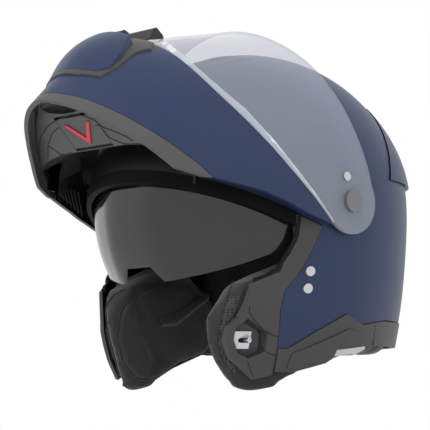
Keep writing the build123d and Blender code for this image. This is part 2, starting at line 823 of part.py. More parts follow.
with BuildPart() as pivot_washer:
    with BuildSketch(hinge_plane.offset(half_width + seat_gap / 2)):
        Circle(pivot_washer_radius)
        Circle(hinge_pin_radius, mode=Mode.SUBTRACT)
    extrude(amount=pivot_washer_thickness)
finish_pair(pivot_washer, "pivot_washer")

# Edges of the shield in the chin bar's side view
shield_low_edge = chin_side_view(
    [(-0.035, -0.214), (0.11, -0.257), (0.231, -0.293), (0.392, -0.334), (0.553, -0.37), (0.716, -0.392),
     (0.854, -0.382), (1.1, -0.345)]
)
shield_high_edge = chin_side_view(
    [(0.0, 0.05), (0.093, 0.073), (0.229, 0.098), (0.349, 0.121), (0.472, 0.145), (0.563, 0.159),
     (0.734, 0.17), (1.1, 0.19)]
)
chin_hinge = (
    hinge_forward * cos(tilt) - hinge_drop * sin(tilt),
    -hinge_forward * sin(tilt) - hinge_drop * cos(tilt),
)

# Face shield
with BuildPart() as face_shield:
    add(chin_skin(0, shield_thickness))
    with BuildSketch(chin_side):
        with BuildLine():
            Spline(*shield_high_edge)
            Line(shield_high_edge[-1], shield_low_edge[-1])
            Spline(*shield_low_edge[::-1])
            Line(shield_low_edge[0], shield_high_edge[0])
        make_face()
        with Locations(chin_hinge):
            Circle(shield_lobe_radius)
            Circle(hinge_pin_radius + running_clearance, mode=Mode.SUBTRACT)
        with Locations(screw_place):
            Circle(screw_radius + running_clearance, mode=Mode.SUBTRACT)
    extrude(amount=overrun, both=True, mode=Mode.INTERSECT)
finish(face_shield, "face_shield")

# Chin bar shell, and the plates by which it hangs on the hinge pins
chin_low_edge = chin_side_view(
    [(1.1, -0.89), (0.91, -0.826), (0.832, -0.776), (0.732, -0.732), (0.639, -0.694), (0.531, -0.655),
     (0.435, -0.622), (0.366, -0.605), (0.304, -0.538), (0.227, -0.457), (0.143, -0.384), (0.069, -0.327),
     (-0.04, -0.221)]
)
plate_outline = chin_side_view(
    [(0.11, -0.01), (0.17, -0.14), (0.25, -0.24), (0.3, -0.28), (0.3, -0.345), (0.2, -0.325),
     (0.07, -0.285), (-0.03, -0.2)]
)
for side, label in ((1, "pivot_plate_left"), (-1, "pivot_plate_right")):
    with BuildPart() as pivot_plate:
        add(chin_skin(chin_wall + seat_gap / 2, chin_wall + seat_gap / 2 + pivot_plate_thickness))
        with BuildSketch(chin_side):
            with BuildLine():
                Polyline(*plate_outline, close=True)
            make_face()
            with Locations(chin_hinge):
                Circle(shield_lobe_radius - seam_gap * 2)
                Circle(hinge_pin_radius + running_clearance, mode=Mode.SUBTRACT)
        extrude(amount=-side * overrun, mode=Mode.INTERSECT)
        with BuildSketch(hinge_plane.offset(side * half_width)):
            Circle(pivot_washer_radius + seat_gap)
        extrude(amount=side * (pivot_washer_thickness + seat_gap), mode=Mode.SUBTRACT)
    finish(pivot_plate, label)
with BuildPart() as chin_shell:
    add(chin_skin(0, chin_wall))
    with BuildSketch(chin_side):
        with BuildLine():
            upper = Spline(*shifted(shield_low_edge, 0, -seam_gap * 1.5))
            Polyline(upper @ 1, *chin_low_edge, upper @ 0)
        make_face()
    extrude(amount=overrun, both=True, mode=Mode.INTERSECT)
finish(chin_shell, "chin_shell")

# Trim of the chin bar
chin_lip = chin_side_view(
    [(0.382, -0.631), (0.455, -0.697), (0.576, -0.733), (0.702, -0.78), (0.8, -0.823), (0.886, -0.862),
     (1.1, -0.92)]
)
with BuildPart() as chin_trim:
    add(chin_skin(0, chin_wall))
    with BuildSketch(chin_side):
        with BuildLine():
            Polyline(*shifted(chin_low_edge[:8], 0, -seam_gap), *chin_lip, close=True)
        make_face()
    extrude(amount=overrun, both=True, mode=Mode.INTERSECT)
finish(chin_trim, "chin_trim")

# Floor panel of the chin bar, seen from below, with its lever bay, finger recess and latch bays
slope = radians(raise_angle - floor_slope)
floor_origin = chin_side.from_local_coords((floor_forward, -floor_drop, 0))
floor_plane = Plane(origin=floor_origin, x_dir=(1, 0, 0), z_dir=(0, sin(slope), cos(slope)))


def floor_y(forward):
    """Place of a chin side view forward distance in the floor plane, whose y points rearwards."""
    return (floor_forward - forward) / cos(radians(floor_slope))


latch_bay_low = latch_side - latch_thickness / 2 - latch_bay_margin
latch_bay_outline = shifted(
    [
        (-latch_reach - latch_bay_margin, -latch_half_width * 4),
        (latch_half_width * 2, -latch_half_width * 4),
        (latch_half_width * 2, latch_half_width * 2),
        (-latch_reach - latch_bay_margin, latch_half_width * 2),
    ],
    latch_forward,
    -latch_drop,
)
with BuildPart() as latch_bays:
    for side in (1, -1):
        with BuildSketch(chin_side.offset(side * latch_bay_low)):
            with BuildLine():
                Polyline(*latch_bay_outline, close=True)
            make_face()
        extrude(amount=side * (latch_thickness + 2 * latch_bay_margin))
with BuildPart() as floor_panel:
    with BuildSketch(floor_plane):
        Rectangle(overrun * 2, overrun * 2)
    extrude(amount=floor_thickness)
    add(chin_form(chin_wall + seat_gap), mode=Mode.INTERSECT)
    add(chin_void(0), mode=Mode.SUBTRACT)
    split(bisect_by=chin_front.offset(floor_start), keep=Keep.TOP)
    with BuildSketch(floor_plane):
        with Locations((0, floor_y((lever_front + lever_rear) / 2))):
            Rectangle(
                lever_width + 2 * soft_gap,
                (lever_front - lever_rear) / cos(radians(floor_slope)) + 2 * lever_barrel_radius + 2 * soft_gap,
            )
        with Locations((0, floor_y(finger_recess_forward))):
            Ellipse(finger_recess_length, finger_recess_width)
    extrude(amount=overrun, both=True, mode=Mode.SUBTRACT)
    add(latch_bays.part, mode=Mode.SUBTRACT)
finish(floor_panel, "floor_panel")

# Inner wall of the chin bar, towards the rider
sill_line = chin_side_view(
    [(0.42, -0.368), (0.48, -0.38), (0.555, -0.475), (0.6, -0.52), (0.72, -0.49), (0.86, -0.41), (1.1, -0.41)]
)
floor_line = [
    (forward, -floor_drop - (forward - floor_forward) * sin(radians(floor_slope)) / cos(radians(floor_slope)))
    for forward in (sill_line[0][0], sill_line[-1][0])
]
wall_outline = sill_line + shifted(floor_line[::-1], 0, floor_thickness + seat_gap)
with BuildPart() as chin_inner_wall:
    add(chin_void(inner_wall))
    add(chin_void(0), mode=Mode.SUBTRACT)
    add(chin_form(chin_wall + seat_gap), mode=Mode.INTERSECT)
    with BuildSketch(chin_side):
        with BuildLine():
            Polyline(*wall_outline, close=True)
        make_face()
    extrude(amount=overrun, both=True, mode=Mode.INTERSECT)
    add(latch_bays.part, mode=Mode.SUBTRACT)
finish(chin_inner_wall, "chin_inner_wall")

# Foam block of the chin bar
foam_start = floor_start + finger_recess_depth * 1.6
foam_outline = (
    shifted(sill_line, 0, -sill_thickness - seat_gap)
    + shifted(floor_line[::-1], 0, floor_thickness + lever_thickness + seat_gap)
)
with BuildPart() as chin_foam:
    add(chin_form(chin_wall + seat_gap))
    add(chin_void(inner_wall + seat_gap), mode=Mode.SUBTRACT)
    with BuildSketch(chin_side):
        with BuildLine():
            Polyline(*foam_outline, close=True)
        make_face()
    extrude(amount=overrun, both=True, mode=Mode.INTERSECT)
    split(bisect_by=chin_front.offset(foam_start), keep=Keep.TOP)
    with BuildSketch(floor_plane):
        with Locations((0, floor_y(finger_recess_forward))):
            Ellipse(finger_recess_length, finger_recess_width)
        with Locations((0, floor_y((lever_front + lever_rear) / 2))):
            Rectangle(lever_width + 2 * soft_gap, (lever_front - lever_rear) + 4 * lever_barrel_radius)
    extrude(amount=finger_recess_depth, mode=Mode.SUBTRACT)
    add(latch_bays.part, mode=Mode.SUBTRACT)
finish(chin_foam, "chin_foam")

# Sill that closes the top of the chin bar under the shield's edge
with BuildPart() as chin_sill:
    add(chin_form(chin_wall + seat_gap))
    add(chin_void(inner_wall + seat_gap), mode=Mode.SUBTRACT)
    with BuildSketch(chin_side):
        with BuildLine():
            Polyline(*sill_line, *shifted(sill_line[::-1], 0, -sill_thickness), close=True)
        make_face()
    extrude(amount=overrun, both=True, mode=Mode.INTERSECT)
    split(bisect_by=chin_front.offset(foam_start), keep=Keep.TOP)
finish(chin_sill, "chin_sill")

# Release lever, hinged at its rear edge, with its chevron
lever_length = (lever_front - lever_rear) / cos(radians(floor_slope))
lever_hinge = floor_y(lever_rear + lever_barrel_radius)
with BuildPart() as release_lever:
    with BuildSketch(floor_plane):
        with Locations((0, floor_y((lever_front + lever_rear) / 2))):
            Rectangle(lever_width, lever_length)
    extrude(amount=lever_thickness)
    with BuildSketch(
        Plane(
            origin=floor_plane.from_local_coords((-lever_width / 2, lever_hinge, lever_barrel_radius)),
            x_dir=(0, cos(slope), -sin(slope)),
            z_dir=(1, 0, 0),
        )
    ):
        Circle(lever_barrel_radius)
    extrude(amount=lever_width)
    with BuildSketch(
        Plane(
            origin=floor_plane.from_local_coords((-lever_width / 2, lever_hinge, lever_barrel_radius)),
            x_dir=(0, cos(slope), -sin(slope)),
            z_dir=(1, 0, 0),
        )
    ):
        Circle(lever_pin_radius + running_clearance)
    extrude(amount=lever_width, mode=Mode.SUBTRACT)
finish(release_lever, "release_lever")

with BuildPart() as lever_pin:
    with BuildSketch(
        Plane(
            origin=floor_plane.from_local_coords(
                (-lever_width / 2 - soft_gap / 2, lever_hinge, lever_barrel_radius)
            ),
            x_dir=(0, cos(slope), -sin(slope)),
            z_dir=(1, 0, 0),
        )
    ):
        Circle(lever_pin_radius)
    extrude(amount=lever_width + soft_gap)
finish(lever_pin, "lever_pin")

apex_y = floor_y(chevron_apex)
with BuildPart() as release_chevron:
    with BuildSketch(floor_plane.offset(-seat_gap / 6)):
        with BuildLine():
            Polyline(
                (0, apex_y),
                (chevron_half_width, apex_y - chevron_depth),
                (chevron_half_width - chevron_band, apex_y - chevron_depth),
                (0, apex_y - chevron_band * 1.6),
                (-chevron_half_width + chevron_band, apex_y - chevron_depth),
                (-chevron_half_width, apex_y - chevron_depth),
                close=True,
            )
        make_face()
    extrude(amount=-chevron_height)
finish(release_chevron, "release_chevron")

# Latch hooks that catch the strikers, and their axles
lean = radians(latch_lean)
latch_slot_length = latch_jaw_length + latch_slot_width
latch_plane = Plane(
    origin=chin_side.from_local_coords((latch_forward, -latch_drop, 0)),
    x_dir=(0, -cos(tilt), sin(tilt)),
    z_dir=(-1, 0, 0),
)
with BuildPart() as latch_hook:
    with BuildSketch(latch_plane.offset(-latch_side - latch_thickness / 2)):
        Circle(latch_half_width)
        with Locations(Location((-latch_reach / 2 * cos(lean), -latch_reach / 2 * sin(lean)), latch_lean)):
            Rectangle(latch_reach, latch_half_width * 1.6)
        with Locations(Location((-latch_reach * cos(lean), -latch_reach * sin(lean)), latch_lean)):
            Rectangle(latch_jaw_length, latch_jaw_width)
        slot_centre = -latch_reach - latch_jaw_length / 2
        with Locations(Location((slot_centre * cos(lean), slot_centre * sin(lean)), latch_lean)):
            Rectangle(latch_slot_length, latch_slot_width, mode=Mode.SUBTRACT)
        # The side that swings past the striker's pin has no prong
        open_across = slot_centre * cos(lean) + latch_jaw_width / 2 * sin(lean)
        open_up = slot_centre * sin(lean) - latch_jaw_width / 2 * cos(lean)
        with Locations(Location((open_across, open_up), latch_lean)):
            Rectangle(latch_slot_length, latch_jaw_width, mode=Mode.SUBTRACT)
        Circle(latch_axle_radius + running_clearance, mode=Mode.SUBTRACT)
    extrude(amount=latch_thickness)
finish_pair(latch_hook, "latch_hook")

with BuildPart() as latch_axle:
    with BuildSketch(latch_plane.offset(-latch_bay_low - seat_gap / 6)):
        Circle(latch_axle_radius)
    extrude(amount=-(latch_thickness + 2 * latch_bay_margin - seat_gap / 3))
finish_pair(latch_axle, "latch_axle")

# Chin vent: dark channel, raised cover and slider
channel_shares = [
    (0.0, -0.72), (0.12, -0.711), (0.26, -0.675), (0.318, -0.595), (0.333, -0.49), (0.36, -0.437),
    (0.3, -0.375), (0.0, -0.365)
]
cover_shares = [
    (0.0, -0.7), (0.11, -0.69), (0.232, -0.663), (0.287, -0.626), (0.302, -0.558), (0.25, -0.452), (0.0, -0.443)
]


def both_sides(points):
    """An outline drawn on one side of the middle, completed by its mirror image."""
    return points + [(-x, y) for x, y in points[::-1] if x != 0]


with BuildPart() as chin_vent_channel:
    add(chin_skin(-vent_channel_proud, -seat_gap / 2))
    with BuildSketch(chin_front):
        with BuildLine():
            Polyline(*both_sides(chin_front_view(channel_shares)), close=True)
        make_face()
    extrude(amount=overrun, mode=Mode.INTERSECT)
finish(chin_vent_channel, "chin_vent_channel")

vent_foot = chin_side.from_local_coords((0.95 * chin_reach, -0.69 * chin_drop, 0))
with BuildPart() as chin_vent_cover:
    add(chin_form(-vent_channel_proud).rotate(Axis(origin=vent_foot, direction=(1, 0, 0)), vent_lift))
    add(chin_form(-vent_channel_proud - seat_gap / 2), mode=Mode.SUBTRACT)
    with BuildSketch(chin_front):
        with BuildLine():
            Polyline(*both_sides(chin_front_view(cover_shares)), close=True)
        make_face()
    extrude(amount=overrun, mode=Mode.INTERSECT)
finish(chin_vent_cover, "chin_vent_cover")

# Slider of the chin vent, in front of the cover's upper edge
vent_slider_side = chin_side_view(
    [(0.9, -0.42), (1.005, -0.42), (1.02, -0.405), (1.02, -0.385), (1.0, -0.37), (0.9, -0.37)]
)
with BuildPart() as chin_vent_slider:
    with BuildSketch(chin_side):
        with BuildLine():
            Polyline(*vent_slider_side, close=True)
        make_face()
    extrude(amount=vent_slider_width / 2, both=True)
    add(chin_form(-vent_channel_proud - running_clearance * 3), mode=Mode.SUBTRACT)
finish(chin_vent_slider, "chin_vent_slider")

# Thumb tab and screws of the shield
tab_side = chin_side_view(
    [(0.85, -0.29), (0.94, -0.29), (0.972, -0.25), (0.972, -0.232), (0.93, -0.215), (0.85, -0.215)]
)
with BuildPart() as shield_tab:
    with BuildSketch(chin_side):
        with BuildLine():
            Polyline(*tab_side, close=True)
        make_face()
    extrude(amount=shield_tab_width / 2, both=True)
    add(chin_form(-seat_gap / 2), mode=Mode.SUBTRACT)
finish(shield_tab, "shield_tab")

with BuildPart() as shield_screws:
    add(chin_skin(-screw_head_height, shield_thickness))
    with BuildSketch(chin_side):
        with Locations(screw_place):
            Circle(screw_radius)
    extrude(amount=overrun, both=True, mode=Mode.INTERSECT)
    with BuildPart(mode=Mode.PRIVATE) as screw_heads:
        add(chin_skin(-screw_head_height, -seat_gap / 6))
        with BuildSketch(chin_side):
            with Locations(screw_place):
                Circle(screw_head_radius)
        extrude(amount=overrun, both=True, mode=Mode.INTERSECT)
    add(screw_heads.part)
finish(shield_screws, "shield_screws")

# Breath guard, ribbed rubber on the inner wall
guard_side = chin_side_view([(0.36, -0.56), (0.36, -0.65), (1.1, -0.65), (1.1, -0.56)])
with BuildPart() as breath_guard:
    add(chin_void(-seat_gap))
    add(chin_void(-seat_gap - guard_thickness), mode=Mode.SUBTRACT)
    with BuildSketch(chin_side):
        with BuildLine():
            Polyline(*guard_side, close=True)
        make_face()
    extrude(amount=guard_half_width, both=True, mode=Mode.INTERSECT)
    split(bisect_by=chin_front.offset(floor_start), keep=Keep.TOP)
finish(breath_guard, "breath_guard")
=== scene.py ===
"""Looks of a flip-up motorcycle helmet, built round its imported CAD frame.

Blender units are metres. +Z is up, the helmet faces -Y and the rider's left is +X.
"""

import logging
from dataclasses import dataclass, field
from enum import Enum
from math import cos, pi, radians, sin

import bmesh
import bpy
import numpy as np
from bpy.types import ID, Curve, Material, Mesh, Node, NodeSocket, NodeTree, Object
from mathutils import Matrix, Vector
from mathutils.bvhtree import BVHTree

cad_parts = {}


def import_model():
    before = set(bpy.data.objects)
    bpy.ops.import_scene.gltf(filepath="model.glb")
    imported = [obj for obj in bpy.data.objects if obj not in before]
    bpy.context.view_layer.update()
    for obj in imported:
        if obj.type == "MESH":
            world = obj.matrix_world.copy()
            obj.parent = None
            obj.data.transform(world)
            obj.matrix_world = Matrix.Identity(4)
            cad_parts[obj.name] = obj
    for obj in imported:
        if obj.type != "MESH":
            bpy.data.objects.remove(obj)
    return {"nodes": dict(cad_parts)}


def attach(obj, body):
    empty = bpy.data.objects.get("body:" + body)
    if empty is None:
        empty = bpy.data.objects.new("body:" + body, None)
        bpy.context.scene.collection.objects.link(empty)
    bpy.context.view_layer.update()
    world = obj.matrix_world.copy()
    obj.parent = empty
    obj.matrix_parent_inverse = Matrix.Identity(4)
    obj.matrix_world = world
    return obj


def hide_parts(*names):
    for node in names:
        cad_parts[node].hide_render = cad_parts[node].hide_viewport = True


LOG = logging.getLogger("helmet")
FORM_CENTRE_HEIGHT = 0.152
LOOK_CENTRE = (0.0, -0.02, FORM_CENTRE_HEIGHT)
PHOTO_SIDE = 430
# Bounds of the brow patch that is painted near-black as painted shade.
BROW_LEAN = (0.0, 0.39, 0.92)
BROW_REACH = 0.127
BROW_FRONT = 0.05
BROW_FOOT = 0.165
MIRROR = Matrix.Scale(-1, 4, Vector((1, 0, 0)))
EDGE_LIFT = 0.25
FAR_AWAY = 9.0
CLOTH_FRAMES = 20

Pixel = tuple[float, float]
Pixels = tuple[Pixel, ...]
Stations = tuple[tuple[float, float, float], ...]
Landings = list[tuple[Vector, Vector]]


class Body(Enum):
    """The frame's bodies that new pieces ride on."""

    HELMET = "helmet"
    CHIN_BAR = "chin_bar"
    SHIELD = "shield"


class Side(Enum):
    """The rider's two sides."""

    LEFT = "left"
    RIGHT = "right"


Dressing = tuple[str, Side, ID, Material, str]


def both(*names: str) -> tuple[str, ...]:
    """The left and the right piece of each name."""
    return tuple(f"{name}_{side.value}" for name in names for side in Side)


def linear(colour: str) -> tuple[float, float, float, float]:
    """Turn an sRGB hex colour into linear values.

    Args:
        colour: Six hex digits, such as "3c4662".

    Returns:
        Red, green, blue and a full alpha.
    """
    parts = [int(colour[i : i + 2], 16) / 255 for i in (0, 2, 4)]
    values = [c / 12.92 if c <= 0.04045 else ((c + 0.055) / 1.055) ** 2.4 for c in parts]
    return (*values, 1.0)


def feed(node: Node, inputs: dict[str | int, object]) -> None:
    """Fill a node's inputs.

    Args:
        node: The node.
        inputs: Input name or number, with a value or the output socket to link.
    """
    for name, value in inputs.items():
        if isinstance(value, NodeSocket):
            node.id_data.links.new(value, node.inputs[name])
        else:
            node.inputs[name].default_value = value


def add_node(
    tree: NodeTree,
    kind: str,
    settings: dict[str, object] | None = None,
    inputs: dict[str | int, object] | None = None,
) -> Node:
    """Add one node with its settings, input values and links.

    Args:
        tree: The node tree that gets the node.
        kind: Blender's type name of the node.
        settings: Attributes to set on the node.
        inputs: Values and links, as for feed.

    Returns:
        The new node.
    """
    node = tree.nodes.new(kind)
    for name, value in (settings or {}).items():
        setattr(node, name, value)
    feed(node, inputs or {})
    return node


def fresh_material(name: str) -> tuple[Material, Node, NodeSocket]:
    """Make a material that holds only its principled shader, its output and the shaded place.

    Args:
        name: The material's name.

    Returns:
        The material, its shader and where the shaded point is on its piece, in metres.
    """
    material = bpy.data.materials.new(name)
    material.use_nodes = True
    tree = material.node_tree
    tree.nodes.clear()
    shader = add_node(tree, "ShaderNodeBsdfPrincipled")
    add_node(tree, "ShaderNodeOutputMaterial", inputs={"Surface": shader.outputs["BSDF"]})
    return material, shader, add_node(tree, "ShaderNodeTexCoord").outputs["Object"]


def noise(place: NodeSocket, scale: float, detail: float) -> NodeSocket:
    """Soft noise between 0 and 1.

    Args:
        place: Where the surface is.
        scale: Waves in a metre.
        detail: Octaves.

    Returns:
        The noise.
    """
    inputs = {"Vector": place, "Scale": scale, "Detail": detail}
    return add_node(place.id_data, "ShaderNodeTexNoise", inputs=inputs).outputs["Fac"]


def cells(place: NodeSocket, gap: float, randomness: float = 1.0) -> NodeSocket:
    """Distance to the nearest cell's middle.

    Args:
        place: Where the surface is.
        gap: Distance between cells, in metres.
        randomness: 0 for a square grid, 1 for scattered cells.

    Returns:
        The distance, as a share of the gap.
    """
    inputs = {"Vector": place, "Scale": 1 / gap, "Randomness": randomness}
    return add_node(place.id_data, "ShaderNodeTexVoronoi", {"feature": "F1"}, inputs).outputs["Distance"]


def blend(share: NodeSocket, first: object, second: object) -> NodeSocket:
    """Blend two colours.

    Args:
        share: The second colour's share.
        first: A colour or a socket.
        second: A colour or a socket.

    Returns:
        The blended colour.
    """
    inputs = {0: share, 6: first, 7: second}
    return add_node(share.id_data, "ShaderNodeMix", {"data_type": "RGBA"}, inputs).outputs[2]


def reckon(operation: str, first: NodeSocket, second: object) -> NodeSocket:
    """Work out one value from two.

    Args:
        operation: Blender's name of the sum.
        first: The first value.
        second: A value or a socket.

    Returns:
        The result.
    """
    settings = {"operation": operation}
    return add_node(first.id_data, "ShaderNodeMath", settings, {0: first, 1: second}).outputs[0]


def dot(first: NodeSocket, second: object) -> NodeSocket:
    """The dot product of two vectors, the second given as a value or a socket."""
    kind, settings = "ShaderNodeVectorMath", {"operation": "DOT_PRODUCT"}
    return add_node(first.id_data, kind, settings, {0: first, 1: second}).outputs["Value"]


def ranged(value: NodeSocket, low: float, high: float) -> NodeSocket:
    """Spread a value between 0 and 1 over a range.

    Args:
        value: The value.
        low: The result at 0.
        high: The result at 1.

    Returns:
        The result.
    """
    inputs = {"Value": value, 3: low, 4: high}
    return add_node(value.id_data, "ShaderNodeMapRange", inputs=inputs).outputs[0]


def mix_shaders(share: NodeSocket, first: NodeSocket, second: NodeSocket) -> NodeSocket:
    """Mix two shaders.

    Args:
        share: The second shader's share.
        first: The first shader.
        second: The second shader.

    Returns:
        The mixed shader.
    """
    inputs = {0: share, 1: first, 2: second}
    return add_node(share.id_data, "ShaderNodeMixShader", inputs=inputs).outputs[0]


def emboss(
    shader: Node, height: NodeSocket, strength: float, depth: float, invert: bool = False
) -> None:
    """Give a shader a fine relief.

    Args:
        shader: The shader.
        height: The relief's height between 0 and 1.
        strength: How strongly it shows.
        depth: Its real depth, in metres.
        invert: True if high values are hollows.
    """
    inputs = {"Height": height, "Strength": strength, "Distance": depth}
    bump = add_node(shader.id_data, "ShaderNodeBump", {"invert": invert}, inputs)
    feed(shader, {"Normal": bump.outputs["Normal"]})


@dataclass(frozen=True)
class MattLacquer:
    """Matt clear lacquer over blue base coat, sprayed on the outside of a moulded composite shell.

    It gives broad soft highlights and a faint tone change from the sprayed base coat. The inside stays in
    the black of the moulding. Where asked, the brow that the closed chin bar covers is also painted
    near-black, as painted shade from the raised chin bar above it.
    """

    name: str = "matt_blue_lacquer"
    colour: str = "2d3b5a"
    deep_colour: str = "283552"
    # Near-black of the unpainted inside, also used as painted shade on the brow.
    inside_and_shade_colour: str = "151516"
    roughness: float = 0.42
    gloss: float = 0.28
    cloud_size: float = 0.06
    peel_size: float = 0.0012
    painted_brow_shade: bool = False

    def build(self) -> Material:
        """Build the lacquer."""
        material, shader, place = fresh_material(self.name)
        clouds = noise(place, 1 / self.cloud_size, 3.0)
        paint = blend(clouds, linear(self.deep_colour), linear(self.colour))
        tree, subtract = shader.id_data, {"operation": "SUBTRACT"}
        away = add_node(tree, "ShaderNodeVectorMath", subtract, {0: place, 1: LOOK_CENTRE})
        normal = add_node(tree, "ShaderNodeNewGeometry").outputs["True Normal"]
        inside_and_shaded_brow = reckon("LESS_THAN", dot(away.outputs[0], normal), 0.0)
        # Painted shade: the brow under the raised chin bar is masked here and painted near-black.
        if self.painted_brow_shade:
            below = reckon("LESS_THAN", dot(place, BROW_LEAN), BROW_REACH)
            front = reckon("LESS_THAN", dot(place, (0.0, 1.0, 0.0)), -BROW_FRONT)
            above = reckon("LESS_THAN", dot(place, (0.0, 0.0, -1.0)), -BROW_FOOT)
            brow = reckon("MULTIPLY", reckon("MULTIPLY", below, front), above)
            inside_and_shaded_brow = reckon("MAXIMUM", inside_and_shaded_brow, brow)
        colour = blend(inside_and_shaded_brow, paint, linear(self.inside_and_shade_colour))
        peel = noise(place, 1 / self.peel_size, 2.0)
        emboss(shader, peel, 0.04, self.peel_size / 4)
        gloss = {"Roughness": self.roughness, "Specular IOR Level": self.gloss}
        feed(shader, {"Base Color": colour, **gloss})
        return material


@dataclass(frozen=True)
class MouldedPlastic:
    """Injection-moulded ABS or nylon with a spark-eroded grain.

    The grain breaks up the highlight, and soft random patches show slightly paler and rougher where hands
    rub it.
    """

    name: str
    colour: str
    worn_colour: str
    roughness: float = 0.5
    grain_size: float = 0.0014
    grain_depth: float = 0.00012
    smudges_per_metre: float = 28.0
    polish: float = 0.06
    scuff: float = 0.08

    def build(self) -> Material:
        """Build the plastic."""
        material, shader, place = fresh_material(self.name)
        smudge = noise(place, self.smudges_per_metre, 4.0)
        colour = blend(smudge, linear(self.colour), linear(self.worn_colour))
        rough = ranged(smudge, self.roughness - self.polish, self.roughness + self.scuff)
        feed(shader, {"Base Color": colour, "Roughness": rough})
        emboss(shader, cells(place, self.grain_size), 0.25, self.grain_depth)
        return material


@dataclass(frozen=True)
class MouldedRubber:
    """Compression-moulded synthetic rubber, dull and slightly dusty."""

    name: str = "black_rubber"
    colour: str = "222222"
    dust_colour: str = "303030"
    shine: float = 0.4
    dust_per_metre: float = 90.0
    dust_depth: float = 0.0003

    def build(self) -> Material:
        """Build the rubber."""
        material, shader, place = fresh_material(self.name)
        dust = noise(place, self.dust_per_metre, 5.0)
        colour = blend(dust, linear(self.colour), linear(self.dust_colour))
        emboss(shader, dust, 0.15, self.dust_depth)
        feed(shader, {"Base Color": colour, "Roughness": 0.62, "Specular IOR Level": self.shine})
        return material


@dataclass(frozen=True)
class Polycarbonate:
    """Injection-moulded, hard-coated polycarbonate sheet.

    It mirrors the room at a glance and tints what lies behind it.
    """

    name: str
    tint: str
    see_through: float
    roughness: float = 0.03
    haze: float = 0.05
    hazes_per_metre: float = 14.0

    def build(self) -> Material:
        """Build the lens material."""
        material, shader, place = fresh_material(self.name)
        clouds = noise(place, self.hazes_per_metre, 3.0)
        rough = ranged(clouds, self.roughness, self.roughness + self.haze)
        feed(shader, {"Base Color": linear(self.tint), "Alpha": 1 - self.see_through, "IOR": 1.58})
        feed(shader, {"Roughness": rough, "Coat Weight": 0.1, "Coat Roughness": 0.02})
        return material


@dataclass(frozen=True)
class TurnedSteel:
    """Turned and tumbled steel with fine turning marks, left bright or blackened in oil."""

    name: str = "bright_steel"
    colour: str = "c9c9cc"
    mark_size: float = 0.0008

    def build(self) -> Material:
        """Build the steel."""
        material, shader, place = fresh_material(self.name)
        marks = noise(place, 1 / self.mark_size, 2.0)
        rough = ranged(marks, 0.22, 0.4)
        feed(shader, {"Base Color": linear(self.colour), "Roughness": rough, "Metallic": 1.0})
        return material


@dataclass(frozen=True)
class BeadFoam:
    """Expanded polystyrene beads fused in a mould and sprayed black, darker towards the hollow joins as
    painted shade.
    """

    name: str = "black_bead_foam"
    colour: str = "1b1b1c"
    bead_middle_colour: str = "2a2a2b"
    bead_size: float = 0.0035
    bead_depth: float = 0.0006

    def build(self) -> Material:
        """Build the foam."""
        material, shader, place = fresh_material(self.name)
        beads = cells(place, self.bead_size)
        # Lighter at each bead's middle and darker towards the hollow joins between beads: painted shade.
        colour = blend(beads, linear(self.bead_middle_colour), linear(self.colour))
        emboss(shader, beads, 0.5, self.bead_depth, True)
        feed(shader, {"Base Color": colour, "Roughness": 0.8})
        return material


@dataclass(frozen=True)
class BrushedKnit:
    """Brushed polyester knit laminated to foam, with a soft nap that catches light at the edges."""

    name: str
    colour: str
    thread_colour: str
    stitch_size: float = 0.0016
    stitch_depth: float = 0.0005
    naps_per_metre: float = 40.0

    def build(self) -> Material:
        """Build the knit."""
        material, shader, place = fresh_material(self.name)
        nap = noise(place, self.naps_per_metre, 6.0)
        colour = blend(nap, linear(self.colour), linear(self.thread_colour))
        emboss(shader, cells(place, self.stitch_size), 0.5, self.stitch_depth, True)
        feed(shader, {"Base Color": colour, "Roughness": 0.9})
        feed(shader, {"Sheen Weight": 0.35, "Sheen Roughness": 0.5})
        return material


@dataclass(frozen=True)
class SpacerMesh:
    """Warp-knitted spacer mesh, whose holes are painted as dark dots in a grey net, as painted shade in
    the holes.
    """

    name: str = "spacer_mesh"
    net_colour: str = "4a4a4b"
    hole_shade_colour: str = "161616"
    hole_gap: float = 0.0022
    hole_depth: float = 0.0006
    hole_radius: float = 0.28
    hole_edge: float = 0.14

    def build(self) -> Material:
        """Build the mesh fabric."""
        material, shader, place = fresh_material(self.name)
        holes = cells(place, self.hole_gap, 0.25)
        inputs = {"Value": holes, 1: self.hole_radius, 2: self.hole_radius + self.hole_edge}
        edge = add_node(shader.id_data, "ShaderNodeMapRange", inputs=inputs).outputs[0]
        # Painted shade: the holes are darkened to stand for the shade inside them.
        colour = blend(edge, linear(self.hole_shade_colour), linear(self.net_colour))
        emboss(shader, edge, 0.6, self.hole_depth)
        feed(shader, {"Base Color": colour, "Roughness": 0.85})
        return material


def mesh_tree(mesh: Mesh) -> BVHTree:
    """Prepare a mesh for finding points on it.

    Args:
        mesh: The mesh.

    Returns:
        Its search tree.
    """
    return BVHTree.FromPolygons(
        [v.co.copy() for v in mesh.vertices], [tuple(p.vertices) for p in mesh.polygons]
    )


def between(points: Pixels, pieces: int) -> list[Pixel]:
    """Divide each run of a drawn line, so that it can lie on a curved surface.

    Args:
        points: The line's corners.
        pieces: Into how many parts each run goes.

    Returns:
        The denser line.
    """
    line = []
    for (x0, y0), (x1, y1) in zip(points, points[1:]):
        line += [(x0 + (x1 - x0) * i / pieces, y0 + (y1 - y0) * i / pieces) for i in range(pieces)]
    return line + [points[-1]]


